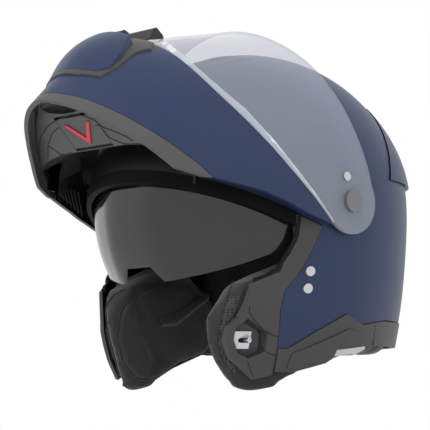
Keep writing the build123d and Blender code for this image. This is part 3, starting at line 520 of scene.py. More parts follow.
@dataclass(frozen=True)
class Sight:
    """The photograph's line of sight through a pixel."""

    azimuth: float = 47.0
    elevation: float = -6.0
    distance: float = 1.4
    focal_pixels: float = 1708.0
    target: tuple[float, float, float] = LOOK_CENTRE
    target_pixel: Pixel = (232.0, 205.0)
    search_start: float = 1.15
    search_step: float = 0.008
    search_count: int = 60

    def back(self) -> Vector:
        """Direction from the target to the camera."""
        a, e = radians(self.azimuth), radians(self.elevation)
        return Vector((sin(a) * cos(e), -cos(a) * cos(e), sin(e)))

    def ray(self, pixel: Pixel) -> tuple[Vector, Vector]:
        """Start and direction of the line of sight.

        Args:
            pixel: Across and down in the photograph.

        Returns:
            The camera's place and the unit direction.
        """
        back = self.back()
        right = Vector((0, 0, 1)).cross(back).normalized()
        up = back.cross(right)
        across = (pixel[0] - self.target_pixel[0]) / self.focal_pixels
        rise = (self.target_pixel[1] - pixel[1]) / self.focal_pixels
        direction = (-back + right * across + up * rise).normalized()
        return Vector(self.target) + back * self.distance, direction

    def land(self, pixel: Pixel, tree: BVHTree) -> tuple[Vector, Vector]:
        """Place on a surface under a pixel, or the surface's nearest place to that sight line.

        Args:
            pixel: Across and down in the photograph.
            tree: The surface.

        Returns:
            The place and the surface's normal towards the camera.
        """
        start, direction = self.ray(pixel)
        place, normal, _, _ = tree.ray_cast(start, direction)
        if place is None:
            best = None
            for step in range(self.search_count):
                reach = self.search_start + self.search_step * step
                found = tree.find_nearest(start + direction * reach)
                if best is None or found[3] < best[3]:
                    best = found
            place, normal = best[:2]
        if normal.dot(direction) > 0:
            normal = -normal
        return place, normal

    def lay(self, line: Pixels, tree: BVHTree, pieces: int) -> Landings:
        """Lay a drawn line on a surface.

        Args:
            line: The line's corners in the photograph.
            tree: The surface.
            pieces: Into how many parts each run goes.

        Returns:
            Places with their normals.
        """
        return [self.land(pixel, tree) for pixel in between(line, pieces)]


def link_piece(name: str, data: ID, finish: Material, body: Body) -> Object:
    """Put one new piece in the scene.

    Args:
        name: The piece's name.
        data: Its mesh or curve.
        finish: Its material.
        body: The body it rides on.

    Returns:
        The new object.
    """
    piece = bpy.data.objects.new(name, data)
    bpy.context.scene.collection.objects.link(piece)
    data.materials.clear()
    data.materials.append(finish)
    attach(piece, body.value)
    LOG.info("made %s", name)
    return piece


def bead(name: str, runs: list[list[Vector]], radius: float) -> Curve:
    """A round bead, piping or groove line along each run of points.

    Args:
        name: The curve's name.
        runs: Lists of points.
        radius: Its radius.

    Returns:
        The curve.
    """
    data = bpy.data.curves.new(name, "CURVE")
    data.dimensions = "3D"
    data.bevel_depth = radius
    data.bevel_resolution = 2
    data.resolution_u = 6
    data.use_fill_caps = True
    for run in runs:
        spline = data.splines.new("NURBS")
        spline.points.add(len(run) - 1)
        for point, place in zip(spline.points, run):
            point.co = (*place, 1)
        spline.order_u = 3
        spline.use_endpoint_u = True
    return data


def smooth_mesh(mesh: bmesh.types.BMesh, name: str) -> Mesh:
    """Turn an edited mesh into a smooth-shaded one.

    Args:
        mesh: The edited mesh, which is freed.
        name: The new mesh's name.

    Returns:
        The mesh.
    """
    for face in mesh.faces:
        face.smooth = True
    data = bpy.data.meshes.new(name)
    mesh.to_mesh(data)
    mesh.free()
    return data


def ribbon(
    name: str, first: list[Vector], second: list[Vector], lift: list[Vector], rows: int = 4
) -> Mesh:
    """A thin crowned strip between two edges.

    Args:
        name: The mesh's name.
        first: Points of one edge.
        second: Points of the other edge.
        lift: How far the middle stands off, point by point.
        rows: Strips across.

    Returns:
        The mesh.
    """
    mesh = bmesh.new()
    grid = []
    for a, b, up in zip(first, second, lift):
        row = []
        for i in range(rows + 1):
            t = i / rows
            row.append(mesh.verts.new(a.lerp(b, t) + up * (EDGE_LIFT + (1 - EDGE_LIFT) * sin(pi * t))))
        grid.append(row)
    for low, high in zip(grid, grid[1:]):
        for i in range(rows):
            mesh.faces.new((low[i], low[i + 1], high[i + 1], high[i]))
    return smooth_mesh(mesh, name)


def crowned_strip(name: str, first: Landings, second: Landings, crown: float, rows: int = 4) -> Mesh:
    """A strip between two lines on a surface, standing off it in the middle.

    Args:
        name: The mesh's name.
        first: One line's landings.
        second: The other's.
        crown: How far the middle stands off.
        rows: Strips across.

    Returns:
        The mesh.
    """
    lift = [(a[1] + b[1]).normalized() * crown for a, b in zip(first, second)]
    return ribbon(name, [place for place, _ in first], [place for place, _ in second], lift, rows)


def mirrored(data: ID, name: str) -> ID:
    """The same form for the rider's other side.

    Args:
        data: The mesh or curve.
        name: The copy's name.

    Returns:
        The mirrored copy.
    """
    other = data.copy()
    other.name = name
    other.transform(MIRROR)
    if isinstance(other, Mesh):
        other.flip_normals()
    return other


def link_sides(body: Body, dressings: tuple[Dressing, ...]) -> dict[str, Object]:
    """Put pieces in the scene on both sides, first all of the left ones.

    Args:
        body: The body they ride on.
        dressings: Each one's name without the side, the side its form is made for, form, finish and slot.

    Returns:
        The new objects by name.
    """
    pieces = {}
    for side in Side:
        for piece, made, form, finish, slot in dressings:
            name = f"{piece}_{side.value}"
            own = form if side is made else mirrored(form, name)
            pieces[name] = link_piece(name, own, finish, body)
    return pieces


def evaluated(piece: Object) -> Mesh:
    """The piece's mesh with its modifiers applied."""
    graph = bpy.context.evaluated_depsgraph_get()
    return bpy.data.meshes.new_from_object(piece.evaluated_get(graph))


def settle(piece: Object) -> None:
    """Apply all modifiers of a piece."""
    data = evaluated(piece)
    piece.modifiers.clear()
    piece.data = data


def point_data(mesh: Mesh, kind: str = "co") -> np.ndarray:
    """The mesh's points, or with kind "normal" their normals, as an array."""
    flat = np.empty(len(mesh.vertices) * 3)
    mesh.vertices.foreach_get(kind, flat)
    return flat.reshape(-1, 3)


def set_coordinates(mesh: Mesh, places: np.ndarray) -> None:
    """Write the mesh's points back."""
    mesh.vertices.foreach_set("co", places.ravel())
    mesh.update()


def line_distance(places: np.ndarray, run: list[Vector]) -> np.ndarray:
    """Each place's distance from a line of points.

    Args:
        places: The places.
        run: The line.

    Returns:
        One distance per place.
    """
    best = np.full(len(places), FAR_AWAY)
    for a, b in zip(run, run[1:]):
        start, way = np.array(a), np.array(b - a)
        share = np.clip((places - start) @ way / max(way @ way, 1e-12), 0, 1)
        gap = np.linalg.norm(places - start - share[:, None] * way, axis=1)
        best = np.minimum(best, gap)
    return best


def sink_channels(mesh: Mesh, runs: list[list[Vector]], depth: float, reach: float) -> None:
    """Press sewn channels into a soft form.

    Args:
        mesh: The form.
        runs: The seam lines.
        depth: How deep the thread pulls.
        reach: Half width of the channel.
    """
    places, outward = point_data(mesh), point_data(mesh, "normal")
    pull = np.zeros(len(places))
    for run in runs:
        pull = np.maximum(pull, np.exp(-((line_distance(places, run) / reach) ** 2)))
    set_coordinates(mesh, places - outward * (pull * depth)[:, None])


def remeshed_copy(node: Object, name: str, voxel: float, smoothing: int) -> Object:
    """A closed, even mesh in a CAD solid's place, ready to be made soft.

    Args:
        node: The CAD solid.
        name: The new piece's name.
        voxel: The mesh's cell size.
        smoothing: Rounds of smoothing.

    Returns:
        The new object, not yet riding on a body.
    """
    piece = bpy.data.objects.new(name, node.data.copy())
    bpy.context.scene.collection.objects.link(piece)
    remesh = piece.modifiers.new("remesh", "REMESH")
    remesh.mode = "VOXEL"
    remesh.voxel_size = voxel
    soften = piece.modifiers.new("soften", "SMOOTH")
    soften.factor = 0.5
    soften.iterations = smoothing
    settle(piece)
    for face in piece.data.polygons:
        face.use_smooth = True
    return piece


def plump(piece: Object, held: np.ndarray, pressure: float, cap: float) -> None:
    """Fill a soft form with pressure, as its foam fills the sewn cover.

    Args:
        piece: The form.
        held: True for the points that don't move.
        pressure: The cloth's pressure.
        cap: How far a point may move.
    """
    start = point_data(piece.data)
    group = piece.vertex_groups.new(name="held")
    group.add(np.nonzero(held)[0].tolist(), 1.0, "REPLACE")
    cloth = piece.modifiers.new("cloth", "CLOTH")
    cloth.settings.use_pressure = True
    cloth.settings.uniform_pressure_force = pressure
    cloth.settings.effector_weights.gravity = 0
    cloth.settings.vertex_group_mass = "held"
    cloth.settings.quality = 5
    cloth.point_cache.frame_end = CLOTH_FRAMES
    scene = bpy.context.scene
    for frame in range(1, CLOTH_FRAMES + 1):
        scene.frame_set(frame)
    moved = point_data(evaluated(piece))
    piece.modifiers.clear()
    scene.frame_set(1)
    if len(moved) == len(start):
        shift = moved - start
        length = np.linalg.norm(shift, axis=1)
        shift *= (np.minimum(length, cap) / np.maximum(length, 1e-9))[:, None]
        set_coordinates(piece.data, start + shift)
    piece.vertex_groups.clear()


@dataclass
class CheekPads:
    """Foam cheek pads in knitted covers, with a mesh strip, piping and sewn channels."""

    nodes: dict[str, Object]
    voxel: float = 0.004
    swell: float = 0.0035
    shrink_share: float = 0.6
    plump_share: float = 1.6
    pressure: float = 4.0
    fill: float = 0.85
    held_side: float = 0.096
    held_foot: float = 0.006
    foot: float = 0.0002
    rim_search: float = 0.056
    channel_search: float = 0.04
    seam_depth: float = 0.0018
    seam_reach: float = 0.0032
    recess_depth: float = 0.003
    recess_reach: float = 0.004
    piping_radius: float = 0.0009
    strip_piping_radius: float = 0.0007
    strip_crown: float = 0.0012
    strip_lift: float = 0.0004
    fold_crown: float = 0.0045
    rim_points: Pixels = (
        (12, -62), (62, -68), (90, -84), (95, -108), (88, -130), (72, -142), (50, -140), (18, -134),
        (-6, -124), (-8, -84), (12, -62),
    )
    channel_points: Pixels = ((80, -76), (66, -100), (60, -122), (64, -140))
    strip_front: Pixels = ((233, 283), (225, 304), (218, 328), (217, 346), (223, 361), (233, 374))
    strip_rear: Pixels = ((243, 289), (236, 308), (229, 328), (226, 344), (231, 357), (241, 369))
    fold_high: Pixels = ((205, 293), (191, 303), (179, 311), (168, 316), (157, 320))
    fold_low: Pixels = ((206, 302), (196, 309), (186, 318), (176, 326), (160, 327))
    recess_line: Pixels = ((137, 286), (139, 305), (142, 326), (150, 345), (160, 360))

    def surface_run(self, tree: BVHTree, points: Pixels, across: float) -> list[Vector]:
        """Lay side-view points on the pad's near surface.

        Args:
            tree: The pad's surface.
            points: Forward and up from the form centre, in millimetres.
            across: Where the search starts.

        Returns:
            Points on the pad.
        """
        run = []
        for forward, up in between(points, 5):
            seek = Vector((across, -forward / 1000, up / 1000 + FORM_CENTRE_HEIGHT))
            run.append(tree.find_nearest(seek)[0])
        return run

    def cushion(self, recess: list[Vector]) -> Object:
        """Fill the left pad's cover and sew its channels.

        Args:
            recess: The line along which the ear recess starts.

        Returns:
            The left pad, not yet riding on a body.
        """
        pad = remeshed_copy(self.nodes["cheek_pad_left"], "cheek_cushion_left", self.voxel, 4)
        places, outward = point_data(pad.data), point_data(pad.data, "normal")
        held = (places[:, 0] > self.held_side) | (places[:, 2] < self.held_foot)
        shrink = np.where(held, 0.0, self.swell * self.shrink_share)
        set_coordinates(pad.data, places - outward * shrink[:, None])
        plump(pad, held, self.pressure, self.swell * self.plump_share)
        divide = pad.modifiers.new("divide", "SUBSURF")
        divide.levels = 1
        divide.render_levels = 1
        settle(pad)
        tree = mesh_tree(pad.data)
        rim = self.surface_run(tree, self.rim_points, self.rim_search)
        channel = self.surface_run(tree, self.channel_points, self.channel_search)
        sink_channels(pad.data, [rim, channel], self.seam_depth, self.seam_reach)
        sink_channels(pad.data, [recess], self.recess_depth, self.recess_reach)
        places = point_data(pad.data)
        places[:, 2] = np.maximum(places[:, 2], self.foot)
        set_coordinates(pad.data, places)
        return pad

    def build(self) -> None:
        """Make the left pad, sew it, and mirror everything for the right."""
        knit = BrushedKnit("pad_knit", "2e2e2f", "3d3d3e").build()
        thread = BrushedKnit("piping_knit", "232324", "303031", 0.001).build()
        mesh_knit = SpacerMesh().build()
        far = mesh_tree(self.nodes["cheek_pad_right"].data)
        sight = Sight()
        high, low = sight.lay(self.fold_high, far, 4), sight.lay(self.fold_low, far, 4)
        fold = crowned_strip("ear_fold_right", high, low, self.fold_crown, 6)
        pad = self.cushion([MIRROR @ place for place, _ in sight.lay(self.recess_line, far, 4)])
        data = pad.data
        bpy.data.objects.remove(pad)
        tree = mesh_tree(data)
        rim = self.surface_run(tree, self.rim_points, self.rim_search)
        front, rear = sight.lay(self.strip_front, tree, 5), sight.lay(self.strip_rear, tree, 5)
        strip = crowned_strip("mesh_strip_left", front, rear, self.strip_crown)
        lift = self.strip_lift
        edge_runs = [[place + normal * lift for place, normal in edge] for edge in (front, rear)]
        rim_piping = bead("rim_piping_left", [rim], self.piping_radius)
        strip_piping = bead("strip_piping_left", edge_runs, self.strip_piping_radius)
        dressings = (
            ("cheek_cushion", Side.LEFT, data, knit, "pad_fabric"),
            ("rim_piping", Side.LEFT, rim_piping, thread, "pad_fabric"),
            ("mesh_strip", Side.LEFT, strip, mesh_knit, "pad_fabric"),
            ("strip_piping", Side.LEFT, strip_piping, thread, "pad_fabric"),
            ("ear_fold", Side.RIGHT, fold, knit, "pad_fabric"),
        )
        pieces = link_sides(Body.HELMET, dressings)
        for name, pad_name in zip(both("cheek_cushion"), both("cheek_pad")):
            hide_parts(pad_name)


@dataclass
class NeckRoll:
    """The padded roll behind the neck, sewn into short sausages."""

    nodes: dict[str, Object]
    voxel: float = 0.004
    centre_back: float = 0.02
    seam_turns: tuple[float, ...] = (-50, -30, -10, 10, 30, 50)
    seam_turn_reach: float = 2.2
    seam_depth: float = 0.0026
    swell: float = 0.0008

    def build(self) -> None:
        """Make the roll and pull its seams in."""
        roll = remeshed_copy(self.nodes["neck_roll"], "neck_cushion", self.voxel, 4)
        places, outward = point_data(roll.data), point_data(roll.data, "normal")
        turn = np.degrees(np.arctan2(places[:, 0], places[:, 1] + self.centre_back))
        pull = np.zeros(len(places))
        for seam in self.seam_turns:
            pull = np.maximum(pull, np.exp(-(((turn - seam) / self.seam_turn_reach) ** 2)))
        set_coordinates(roll.data, places + outward * (self.swell - pull * self.seam_depth)[:, None])
        data = roll.data
        bpy.data.objects.remove(roll)
        knit = BrushedKnit("neck_knit", "2c2c2d", "3b3b3c").build()
        cushion = link_piece("neck_cushion", data, knit, Body.HELMET)
        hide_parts("neck_roll")


@dataclass
class ComfortLiner:
    """The quilted liner against the rider's head."""

    nodes: dict[str, Object]
    voxel: float = 0.003
    panel_turn: float = 30.0
    panel_seam_reach: float = 0.0035
    crown_radius: float = 0.02
    ring_heights: tuple[float, ...] = (0.215, 0.182)
    ring_seam_reach: float = 0.003
    seam_depth: float = 0.0022
    swell: float = 0.0012
    facing_down: float = -0.3

    def build(self) -> None:
        """Make the liner, puff its panels and pull its seams in."""
        liner = remeshed_copy(self.nodes["comfort_liner"], "quilted_liner", self.voxel, 3)
        places, outward = point_data(liner.data), point_data(liner.data, "normal")
        turn = np.degrees(np.arctan2(places[:, 0], places[:, 1]))
        radius = np.hypot(places[:, 0], places[:, 1])
        off = (turn / self.panel_turn - np.round(turn / self.panel_turn)) * self.panel_turn
        fade = np.clip((radius - self.crown_radius) / self.crown_radius, 0, 1)
        pull = np.exp(-((np.radians(off) * radius / self.panel_seam_reach) ** 2)) * fade
        for height in self.ring_heights:
            pull = np.maximum(pull, np.exp(-(((places[:, 2] - height) / self.ring_seam_reach) ** 2)))
        inward = np.einsum("ij,ij->i", outward[:, :2], places[:, :2]) < 0
        inward |= outward[:, 2] < self.facing_down
        puff = np.where(inward, self.swell, 0.0) - pull * self.seam_depth
        set_coordinates(liner.data, places + outward * puff[:, None])
        data = liner.data
        bpy.data.objects.remove(liner)
        knit = BrushedKnit("liner_knit", "29292a", "383839").build()
        quilt = link_piece("quilted_liner", data, knit, Body.HELMET)
        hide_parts("comfort_liner")


@dataclass
class PanelSeams:
    """Moulded parting lines on the side frames, and the rubber lip round the eye port's corner."""

    nodes: dict[str, Object]
    line_radius: float = 0.00045
    lip_radius: float = 0.0021
    lip_inset: float = 0.0012
    lines: tuple[Pixels, ...] = (
        ((250, 306), (249, 312), (256, 322), (264, 330), (272, 335), (281, 337)),
        ((259, 329), (260, 340), (262, 348), (268, 353), (277, 356)),
        ((248, 362), (250, 369), (253, 376)),
    )
    lip: Pixels = (
        (300, 216), (299, 226), (297, 238), (291, 250), (283, 262), (279, 271), (268, 275), (254, 281),
    )

    def build(self) -> None:
        """Lay the lines on the near frame and mirror them."""
        dark = MouldedPlastic("shadowed_plastic", "121212", "191919").build()
        rubber = MouldedRubber("port_lip_rubber", "101010", "1c1c1c", 0.2).build()
        tree = mesh_tree(self.nodes["side_frame_left"].data)
        sight = Sight()
        runs = [[place for place, _ in sight.lay(line, tree, 3)] for line in self.lines]
        seams = bead("frame_seams_left", runs, self.line_radius)
        inward = Vector((self.lip_inset, 0, 0))
        lip_run = [place - inward for place, _ in sight.lay(self.lip, tree, 2)]
        lip = bead("port_lip_left", [lip_run], self.lip_radius)
        dressings = (
            ("frame_seams", Side.LEFT, seams, dark, "trim_plastic"),
            ("port_lip", Side.LEFT, lip, rubber, "gasket_rubber"),
        )
        link_sides(Body.HELMET, dressings)


@dataclass
class ChinUnderside:
    """Dish, contour lines, ribs and slots of the chin bar's underside, the lines and slots in painted
    shade.
    """

    nodes: dict[str, Object]
    tilt: float = radians(63.0)
    slope: float = radians(45.0)
    floor_forward: float = 0.115
    floor_drop: float = 0.134
    dish_forward: float = 0.145
    dish_length: float = 0.028
    dish_width: float = 0.0085
    dish_depth: float = 0.0075
    dish_lean: float = radians(18.0)
    dish_clearance: float = 0.0003
    dish_roundness: float = 0.6
    dish_tip: float = 0.02
    dish_rings: int = 10
    dish_columns: int = 48
    contour_radius: float = 0.0005
    contour: Pixels = (
        (40, 160), (39, 148), (41, 137), (47, 127), (55, 121), (91, 124), (111, 130), (127, 137),
        (145, 149), (163, 163),
    )
    inner_contour: Pixels = (
        (48, 172), (48, 158), (48, 145), (52, 134), (59, 127), (88, 131), (108, 137), (124, 144),
        (140, 155),
    )
    fold_lines: tuple[Pixels, ...] = (
        ((49, 146), (61, 155), (73, 163)),
        ((48, 173), (61, 170), (75, 164)),
        ((124, 144), (125, 151), (126, 158)),
    )
    rib_count: int = 8
    rib_radius: float = 0.0011
    rib_top: Pixel = (50.0, 181.0)
    rib_top_step: Pixel = (4.0, 1.6)
    rib_foot: Pixel = (57.0, 193.0)
    rib_foot_step: Pixel = (3.6, 3.3)
    lip_root: Stations = (
        (78, 146, -86), (80, 154, -86), (81, 162, -87), (82, 169, -88), (83, 176, -98), (84, 184, -106),
    )
    lip_edge: Stations = (
        (101, 146, -91), (101, 154, -91), (99, 162, -91), (97, 169, -90), (97, 176, -102),
        (95, 184, -109),
    )
    lip_crown: float = 0.002
    slot_radius: float = 0.0006
    slot_rows: int = 3
    slot_columns: int = 4
    slot_start: Pixel = (33.5, 111.0)
    slot_column_step: Pixel = (3.1, -2.2)
    slot_row_step: Pixel = (1.2, 3.4)
    slot_run: Pixel = (1.7, -1.2)

    def dish(self) -> Mesh:
        """The smooth finger dish, a bowl whose rim lies in the floor panel's opening."""
        y = -self.floor_forward * cos(self.tilt) - self.floor_drop * sin(self.tilt)
        z = self.floor_forward * sin(self.tilt) - self.floor_drop * cos(self.tilt)
        along = Vector((0, -cos(self.slope), sin(self.slope)))
        out = Vector((0, -sin(self.slope), -cos(self.slope)))
        shift = (self.dish_forward - self.floor_forward) / cos(self.dish_lean)
        centre = Vector((0, y, z + FORM_CENTRE_HEIGHT)) + along * shift
        length = self.dish_length - self.dish_clearance
        width = self.dish_width - self.dish_clearance
        mesh = bmesh.new()
        rings = []
        for i in range(self.dish_rings):
            share = i / (self.dish_rings - 1)
            size = cos(share * pi / 2) ** self.dish_roundness if share < 1 else self.dish_tip
            sunk = centre - out * (sin(share * pi / 2) * self.dish_depth)
            ring = []
            for j in range(self.dish_columns):
                t = 2 * pi * j / self.dish_columns
                across = Vector((cos(t) * length * size, 0, 0))
                ring.append(mesh.verts.new(sunk + across + along * (sin(t) * width * size)))
            rings.append(ring)
        for low, high in zip(rings, rings[1:]):
            for j in range(self.dish_columns):
                k = (j + 1) % self.dish_columns
                mesh.faces.new((low[j], low[k], high[k], high[j]))
        mesh.faces.new(rings[-1])
        bmesh.ops.recalc_face_normals(mesh, faces=mesh.faces)
        return smooth_mesh(mesh, "finger_dish")

    def wall_lip(self, sight: Sight) -> Mesh:
        """The soft lip that carries the chin bar's inner wall on towards the brow.

        Args:
            sight: The photograph's sight lines.

        Returns:
            The right-hand lip.
        """
        edges = []
        for stations in (self.lip_root, self.lip_edge):
            edge = []
            for across, down, x in stations:
                start, way = sight.ray((across, down))
                edge.append(start + way * ((x / 1000 - start.x) / way.x))
            edges.append(edge)
        return ribbon("wall_lip_right", *edges, [Vector((-self.lip_crown, 0, 0))] * len(self.lip_root))

    def slots(self, sight: Sight) -> list[list[Vector]]:
        """The rows of short slots at the trim's front.

        Args:
            sight: The photograph's sight lines.

        Returns:
            One run of points a slot.
        """
        trim = mesh_tree(self.nodes["chin_trim"].data)
        runs = []
        for row in range(self.slot_rows):
            for column in range(self.slot_columns):
                x = self.slot_start[0] + self.slot_column_step[0] * column + self.slot_row_step[0] * row
                y = self.slot_start[1] + self.slot_column_step[1] * column + self.slot_row_step[1] * row
                a, _ = sight.land((x, y), trim)
                b, _ = sight.land((x + self.slot_run[0], y + self.slot_run[1]), trim)
                runs.append([a, a.lerp(b, 0.5), b])
        return runs

    def build(self) -> None:
        """Make the dish, the lines, the ribs, the lips and the slots."""
        grey = MouldedPlastic("dish_plastic", "3c3c3b", "474746", 0.45).build()
        # Painted shade: the contour lines and slots are near-black beads for the shade in the grooves and
        # slot openings.
        dark = MouldedPlastic("painted_groove_shade", "141414", "1c1c1c").build()
        rubber = MouldedRubber("rib_rubber", "262626", "343434").build()
        link_piece("finger_dish", self.dish(), grey, Body.CHIN_BAR)
        floor = mesh_tree(self.nodes["floor_panel"].data)
        sight = Sight()
        lines = (self.contour, self.inner_contour, *self.fold_lines)
        runs = [[place for place, _ in sight.lay(line, floor, 3)] for line in lines]
        contours = bead("floor_contours", runs, self.contour_radius)
        link_piece("floor_contours", contours, dark, Body.CHIN_BAR)
        wall = mesh_tree(self.nodes["chin_shell"].data)
        ribs = []
        for i in range(self.rib_count):
            top = tuple(a + b * i for a, b in zip(self.rib_top, self.rib_top_step))
            foot = tuple(a + b * i for a, b in zip(self.rib_foot, self.rib_foot_step))
            ribs.append([place for place, _ in sight.lay((top, foot), wall, 4)])
        ribbing = bead("wall_ribs_right", ribs, self.rib_radius)
        lip = self.wall_lip(sight)
        dressings = (
            ("wall_ribs", Side.RIGHT, ribbing, rubber, "gasket_rubber"),
            ("wall_lip", Side.RIGHT, lip, rubber, "gasket_rubber"),
        )
        link_sides(Body.CHIN_BAR, dressings)
        slots = bead("chin_slots", self.slots(sight), self.slot_radius)
        link_piece("chin_slots", slots, dark, Body.CHIN_BAR)


@dataclass
class ShieldRimHighlight:
    """The shield's thick lower rim, overlaid with a near-white strip that is a painted highlight."""

    nodes: dict[str, Object]
    crown: float = 0.0003
    low_edge: Pixels = (
        (333, 223), (314, 196), (296, 174), (270, 144), (240, 114), (206, 84), (180, 60), (158, 41),
    )
    high_edge: Pixels = (
        (334.5, 221), (316, 193.5), (298.5, 170.5), (274, 139.5), (245, 108.5), (211, 79.5), (184.5, 56),
        (162, 37.5),
    )

    def build(self) -> None:
        """Lay the painted highlight strip on the near rim and mirror it."""
        # Painted highlight: a near-white, mostly opaque strip along the rim.
        bright = Polycarbonate("painted_rim_highlight", "f2f4f8", 0.25).build()
        tree = mesh_tree(self.nodes["face_shield"].data)
        sight = Sight()
        low, high = sight.lay(self.low_edge, tree, 5), sight.lay(self.high_edge, tree, 5)
        rim = crowned_strip("shield_rim_left", low, high, self.crown)
        link_sides(Body.SHIELD, (("shield_rim", Side.LEFT, rim, bright, "clear_shield"),))


def dress_nodes(nodes: dict[str, Object]) -> None:
    """Give every CAD node its finish, one class of part after another.

    Args:
        nodes: The frame's nodes by name.
    """
    steel_pairs = both("strap_hanger", "striker", "sun_visor_pin", "pivot_pin")
    grey_pairs = both("side_frame", "side_trim", "pocket_cover", "pivot_plate")
    grey_parts = ("rear_trim", "chin_inner_wall", "chin_vent_channel", "crown_vent")
    black_pairs = both("sun_visor_arm", "pivot_washer")
    black_parts = ("crown_vent_slider", "chin_vent_slider", "shield_tab")
    soft_parts = both("cheek_pad") + ("comfort_liner", "neck_roll")
    chin_parts = ("chin_trim", "floor_panel", "release_lever", "chin_sill")
    groups = (
        (("chin_shell", "chin_vent_cover", "rear_spoiler"), MattLacquer()),
        # The outer shell's brow gets painted shade.
        (("outer_shell",), MattLacquer("matt_blue_lacquer_painted_brow_shade", painted_brow_shade=True)),
        (grey_pairs + grey_parts, MouldedPlastic("grey_moulded_plastic", "353535", "404040")),
        (black_pairs + black_parts, MouldedPlastic("black_moulded_plastic", "1e1e1e", "292929")),
        (both("pivot_cover"), MouldedPlastic("pale_grey_moulded_plastic", "6a6c70", "7c7e82", 0.4)),
        (steel_pairs + ("shell_rivets", "shield_screws"), TurnedSteel()),
        (both("latch_hook", "latch_axle") + ("lever_pin",), TurnedSteel("blackened_steel", "2a2a2c")),
        (chin_parts, MouldedPlastic("chin_moulded_plastic", "474747", "535353")),
        (("brow_gasket",), MouldedRubber("gasket_rubber", "080808", "101010", 0.1)),
        (("breath_guard",), MouldedRubber()),
        (("impact_liner", "chin_foam"), BeadFoam()),
        (("sun_visor_slider",), MouldedPlastic("pale_moulded_plastic", "c4c4c4", "d2d2d2")),
        (("release_chevron",), MouldedPlastic("red_moulded_plastic", "d8203a", "e0304a", 0.4)),
        (("sun_visor_lens",), Polycarbonate("smoke_polycarbonate", "1c1c1d", 0.06, 0.1)),
        (("face_shield",), Polycarbonate("clear_polycarbonate", "a2aabb", 0.62)),
        (soft_parts, BrushedKnit("hidden_knit", "2b2b2c", "3a3a3b")),
    )
    for names, finish in groups:
        material = finish.build()
        for name in names:
            part = nodes[name]
            part.data.materials.clear()
            part.data.materials.append(material)
            LOG.info("dressed %s with %s", name, material.name)


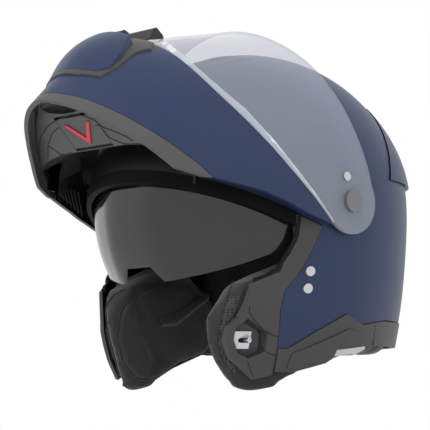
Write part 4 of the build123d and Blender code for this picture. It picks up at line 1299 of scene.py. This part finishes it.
@dataclass
class Studio:
    """Floor, lamps, world and the camera at the photograph's place."""

    sight: Sight = field(default_factory=Sight)
    ambient_light: float = 0.45
    shown_light: float = 1.0
    floor_size: float = 6.0
    floor_gap: float = 0.0005
    lamps: tuple[tuple[str, tuple[float, float, float], float, float], ...] = (
        ("top_lamp", (0.3, -0.4, 1.9), 1.4, 16.0),
        ("front_lamp", (-0.6, -1.9, 0.9), 1.2, 10.0),
        ("side_lamp", (2.0, -0.5, 0.9), 1.2, 10.0),
        ("back_lamp", (-0.5, 1.8, 1.1), 1.2, 8.0),
    )

    def place_camera(self) -> None:
        """Put the camera where the photograph was taken from."""
        back = self.sight.back()
        data = bpy.data.cameras.new("photo_camera")
        data.sensor_width = 36.0
        data.lens = self.sight.focal_pixels / PHOTO_SIDE * data.sensor_width
        data.shift_x = (PHOTO_SIDE / 2 - self.sight.target_pixel[0]) / PHOTO_SIDE
        data.shift_y = (self.sight.target_pixel[1] - PHOTO_SIDE / 2) / PHOTO_SIDE
        data.clip_start = 0.01
        camera = bpy.data.objects.new("photo_camera", data)
        bpy.context.scene.collection.objects.link(camera)
        camera.location = Vector(self.sight.target) + back * self.sight.distance
        camera.rotation_mode = "QUATERNION"
        camera.rotation_quaternion = (-back).to_track_quat("-Z", "Y")
        bpy.context.scene.camera = camera

    def place_floor(self) -> None:
        """Lay the pale floor, which looks plain white to the camera and in gloss."""
        mesh = bmesh.new()
        bmesh.ops.create_grid(mesh, x_segments=1, y_segments=1, size=self.floor_size)
        floor = bpy.data.objects.new("floor", smooth_mesh(mesh, "floor"))
        floor.location.z = -self.floor_gap
        bpy.context.scene.collection.objects.link(floor)
        material, shader, _ = fresh_material("pale_floor")
        tree = shader.id_data
        feed(shader, {"Base Color": linear("f4f4f4"), "Roughness": 0.8})
        path = add_node(tree, "ShaderNodeLightPath").outputs
        glow = add_node(tree, "ShaderNodeEmission", inputs={"Color": linear("ffffff"), "Strength": 1.0})
        share = reckon("MAXIMUM", path["Is Camera Ray"], path["Is Glossy Ray"])
        mix = mix_shaders(share, shader.outputs["BSDF"], glow.outputs[0])
        under = add_node(tree, "ShaderNodeNewGeometry").outputs["Backfacing"]
        gone = add_node(tree, "ShaderNodeBsdfTransparent").outputs[0]
        out = next(n for n in tree.nodes if n.type == "OUTPUT_MATERIAL")
        feed(out, {"Surface": mix_shaders(under, mix, gone)})
        floor.data.materials.append(material)

    def light_world(self) -> None:
        """Light softly, and show a white room to the camera, to gloss and through glass."""
        world = bpy.data.worlds.new("studio")
        bpy.context.scene.world = world
        world.use_nodes = True
        tree = world.node_tree
        tree.nodes.clear()
        path = add_node(tree, "ShaderNodeLightPath").outputs
        clear = reckon("MAXIMUM", path["Is Camera Ray"], path["Is Transmission Ray"])
        seen = reckon("MAXIMUM", clear, path["Is Glossy Ray"])
        ambient, shown = (
            add_node(tree, "ShaderNodeBackground", inputs={"Color": linear("ffffff"), "Strength": light})
            for light in (self.ambient_light, self.shown_light)
        )
        mix = mix_shaders(seen, ambient.outputs[0], shown.outputs[0])
        add_node(tree, "ShaderNodeOutputWorld", inputs={"Surface": mix})

    def hang_lamp(self, name: str, place: Vector, size: float, watts: float) -> None:
        """Hang one soft lamp that points at the helmet and that glossy surfaces don't mirror.

        Args:
            name: The lamp's name.
            place: Where it hangs.
            size: Its side.
            watts: Its power.
        """
        data = bpy.data.lights.new(name, "AREA")
        data.size = size
        data.energy = watts
        lamp = bpy.data.objects.new(name, data)
        lamp.location = place
        lamp.rotation_mode = "QUATERNION"
        lamp.rotation_quaternion = (Vector(self.sight.target) - place).to_track_quat("-Z", "Y")
        lamp.visible_glossy = False
        bpy.context.scene.collection.objects.link(lamp)

    def build(self) -> None:
        """Set up the whole studio."""
        self.place_camera()
        self.place_floor()
        self.light_world()
        for name, place, size, watts in self.lamps:
            self.hang_lamp(name, Vector(place), size, watts)
        bpy.context.scene.view_settings.view_transform = "Standard"


def main() -> None:
    """Load the frame, dress it and set the studio."""
    logging.basicConfig(level=logging.INFO)
    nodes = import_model()["nodes"]
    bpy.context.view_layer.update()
    Studio().build()
    dress_nodes(nodes)
    CheekPads(nodes).build()
    NeckRoll(nodes).build()
    ComfortLiner(nodes).build()
    PanelSeams(nodes).build()
    ChinUnderside(nodes).build()
    ShieldRimHighlight(nodes).build()


if __name__ == "__main__":
    main()
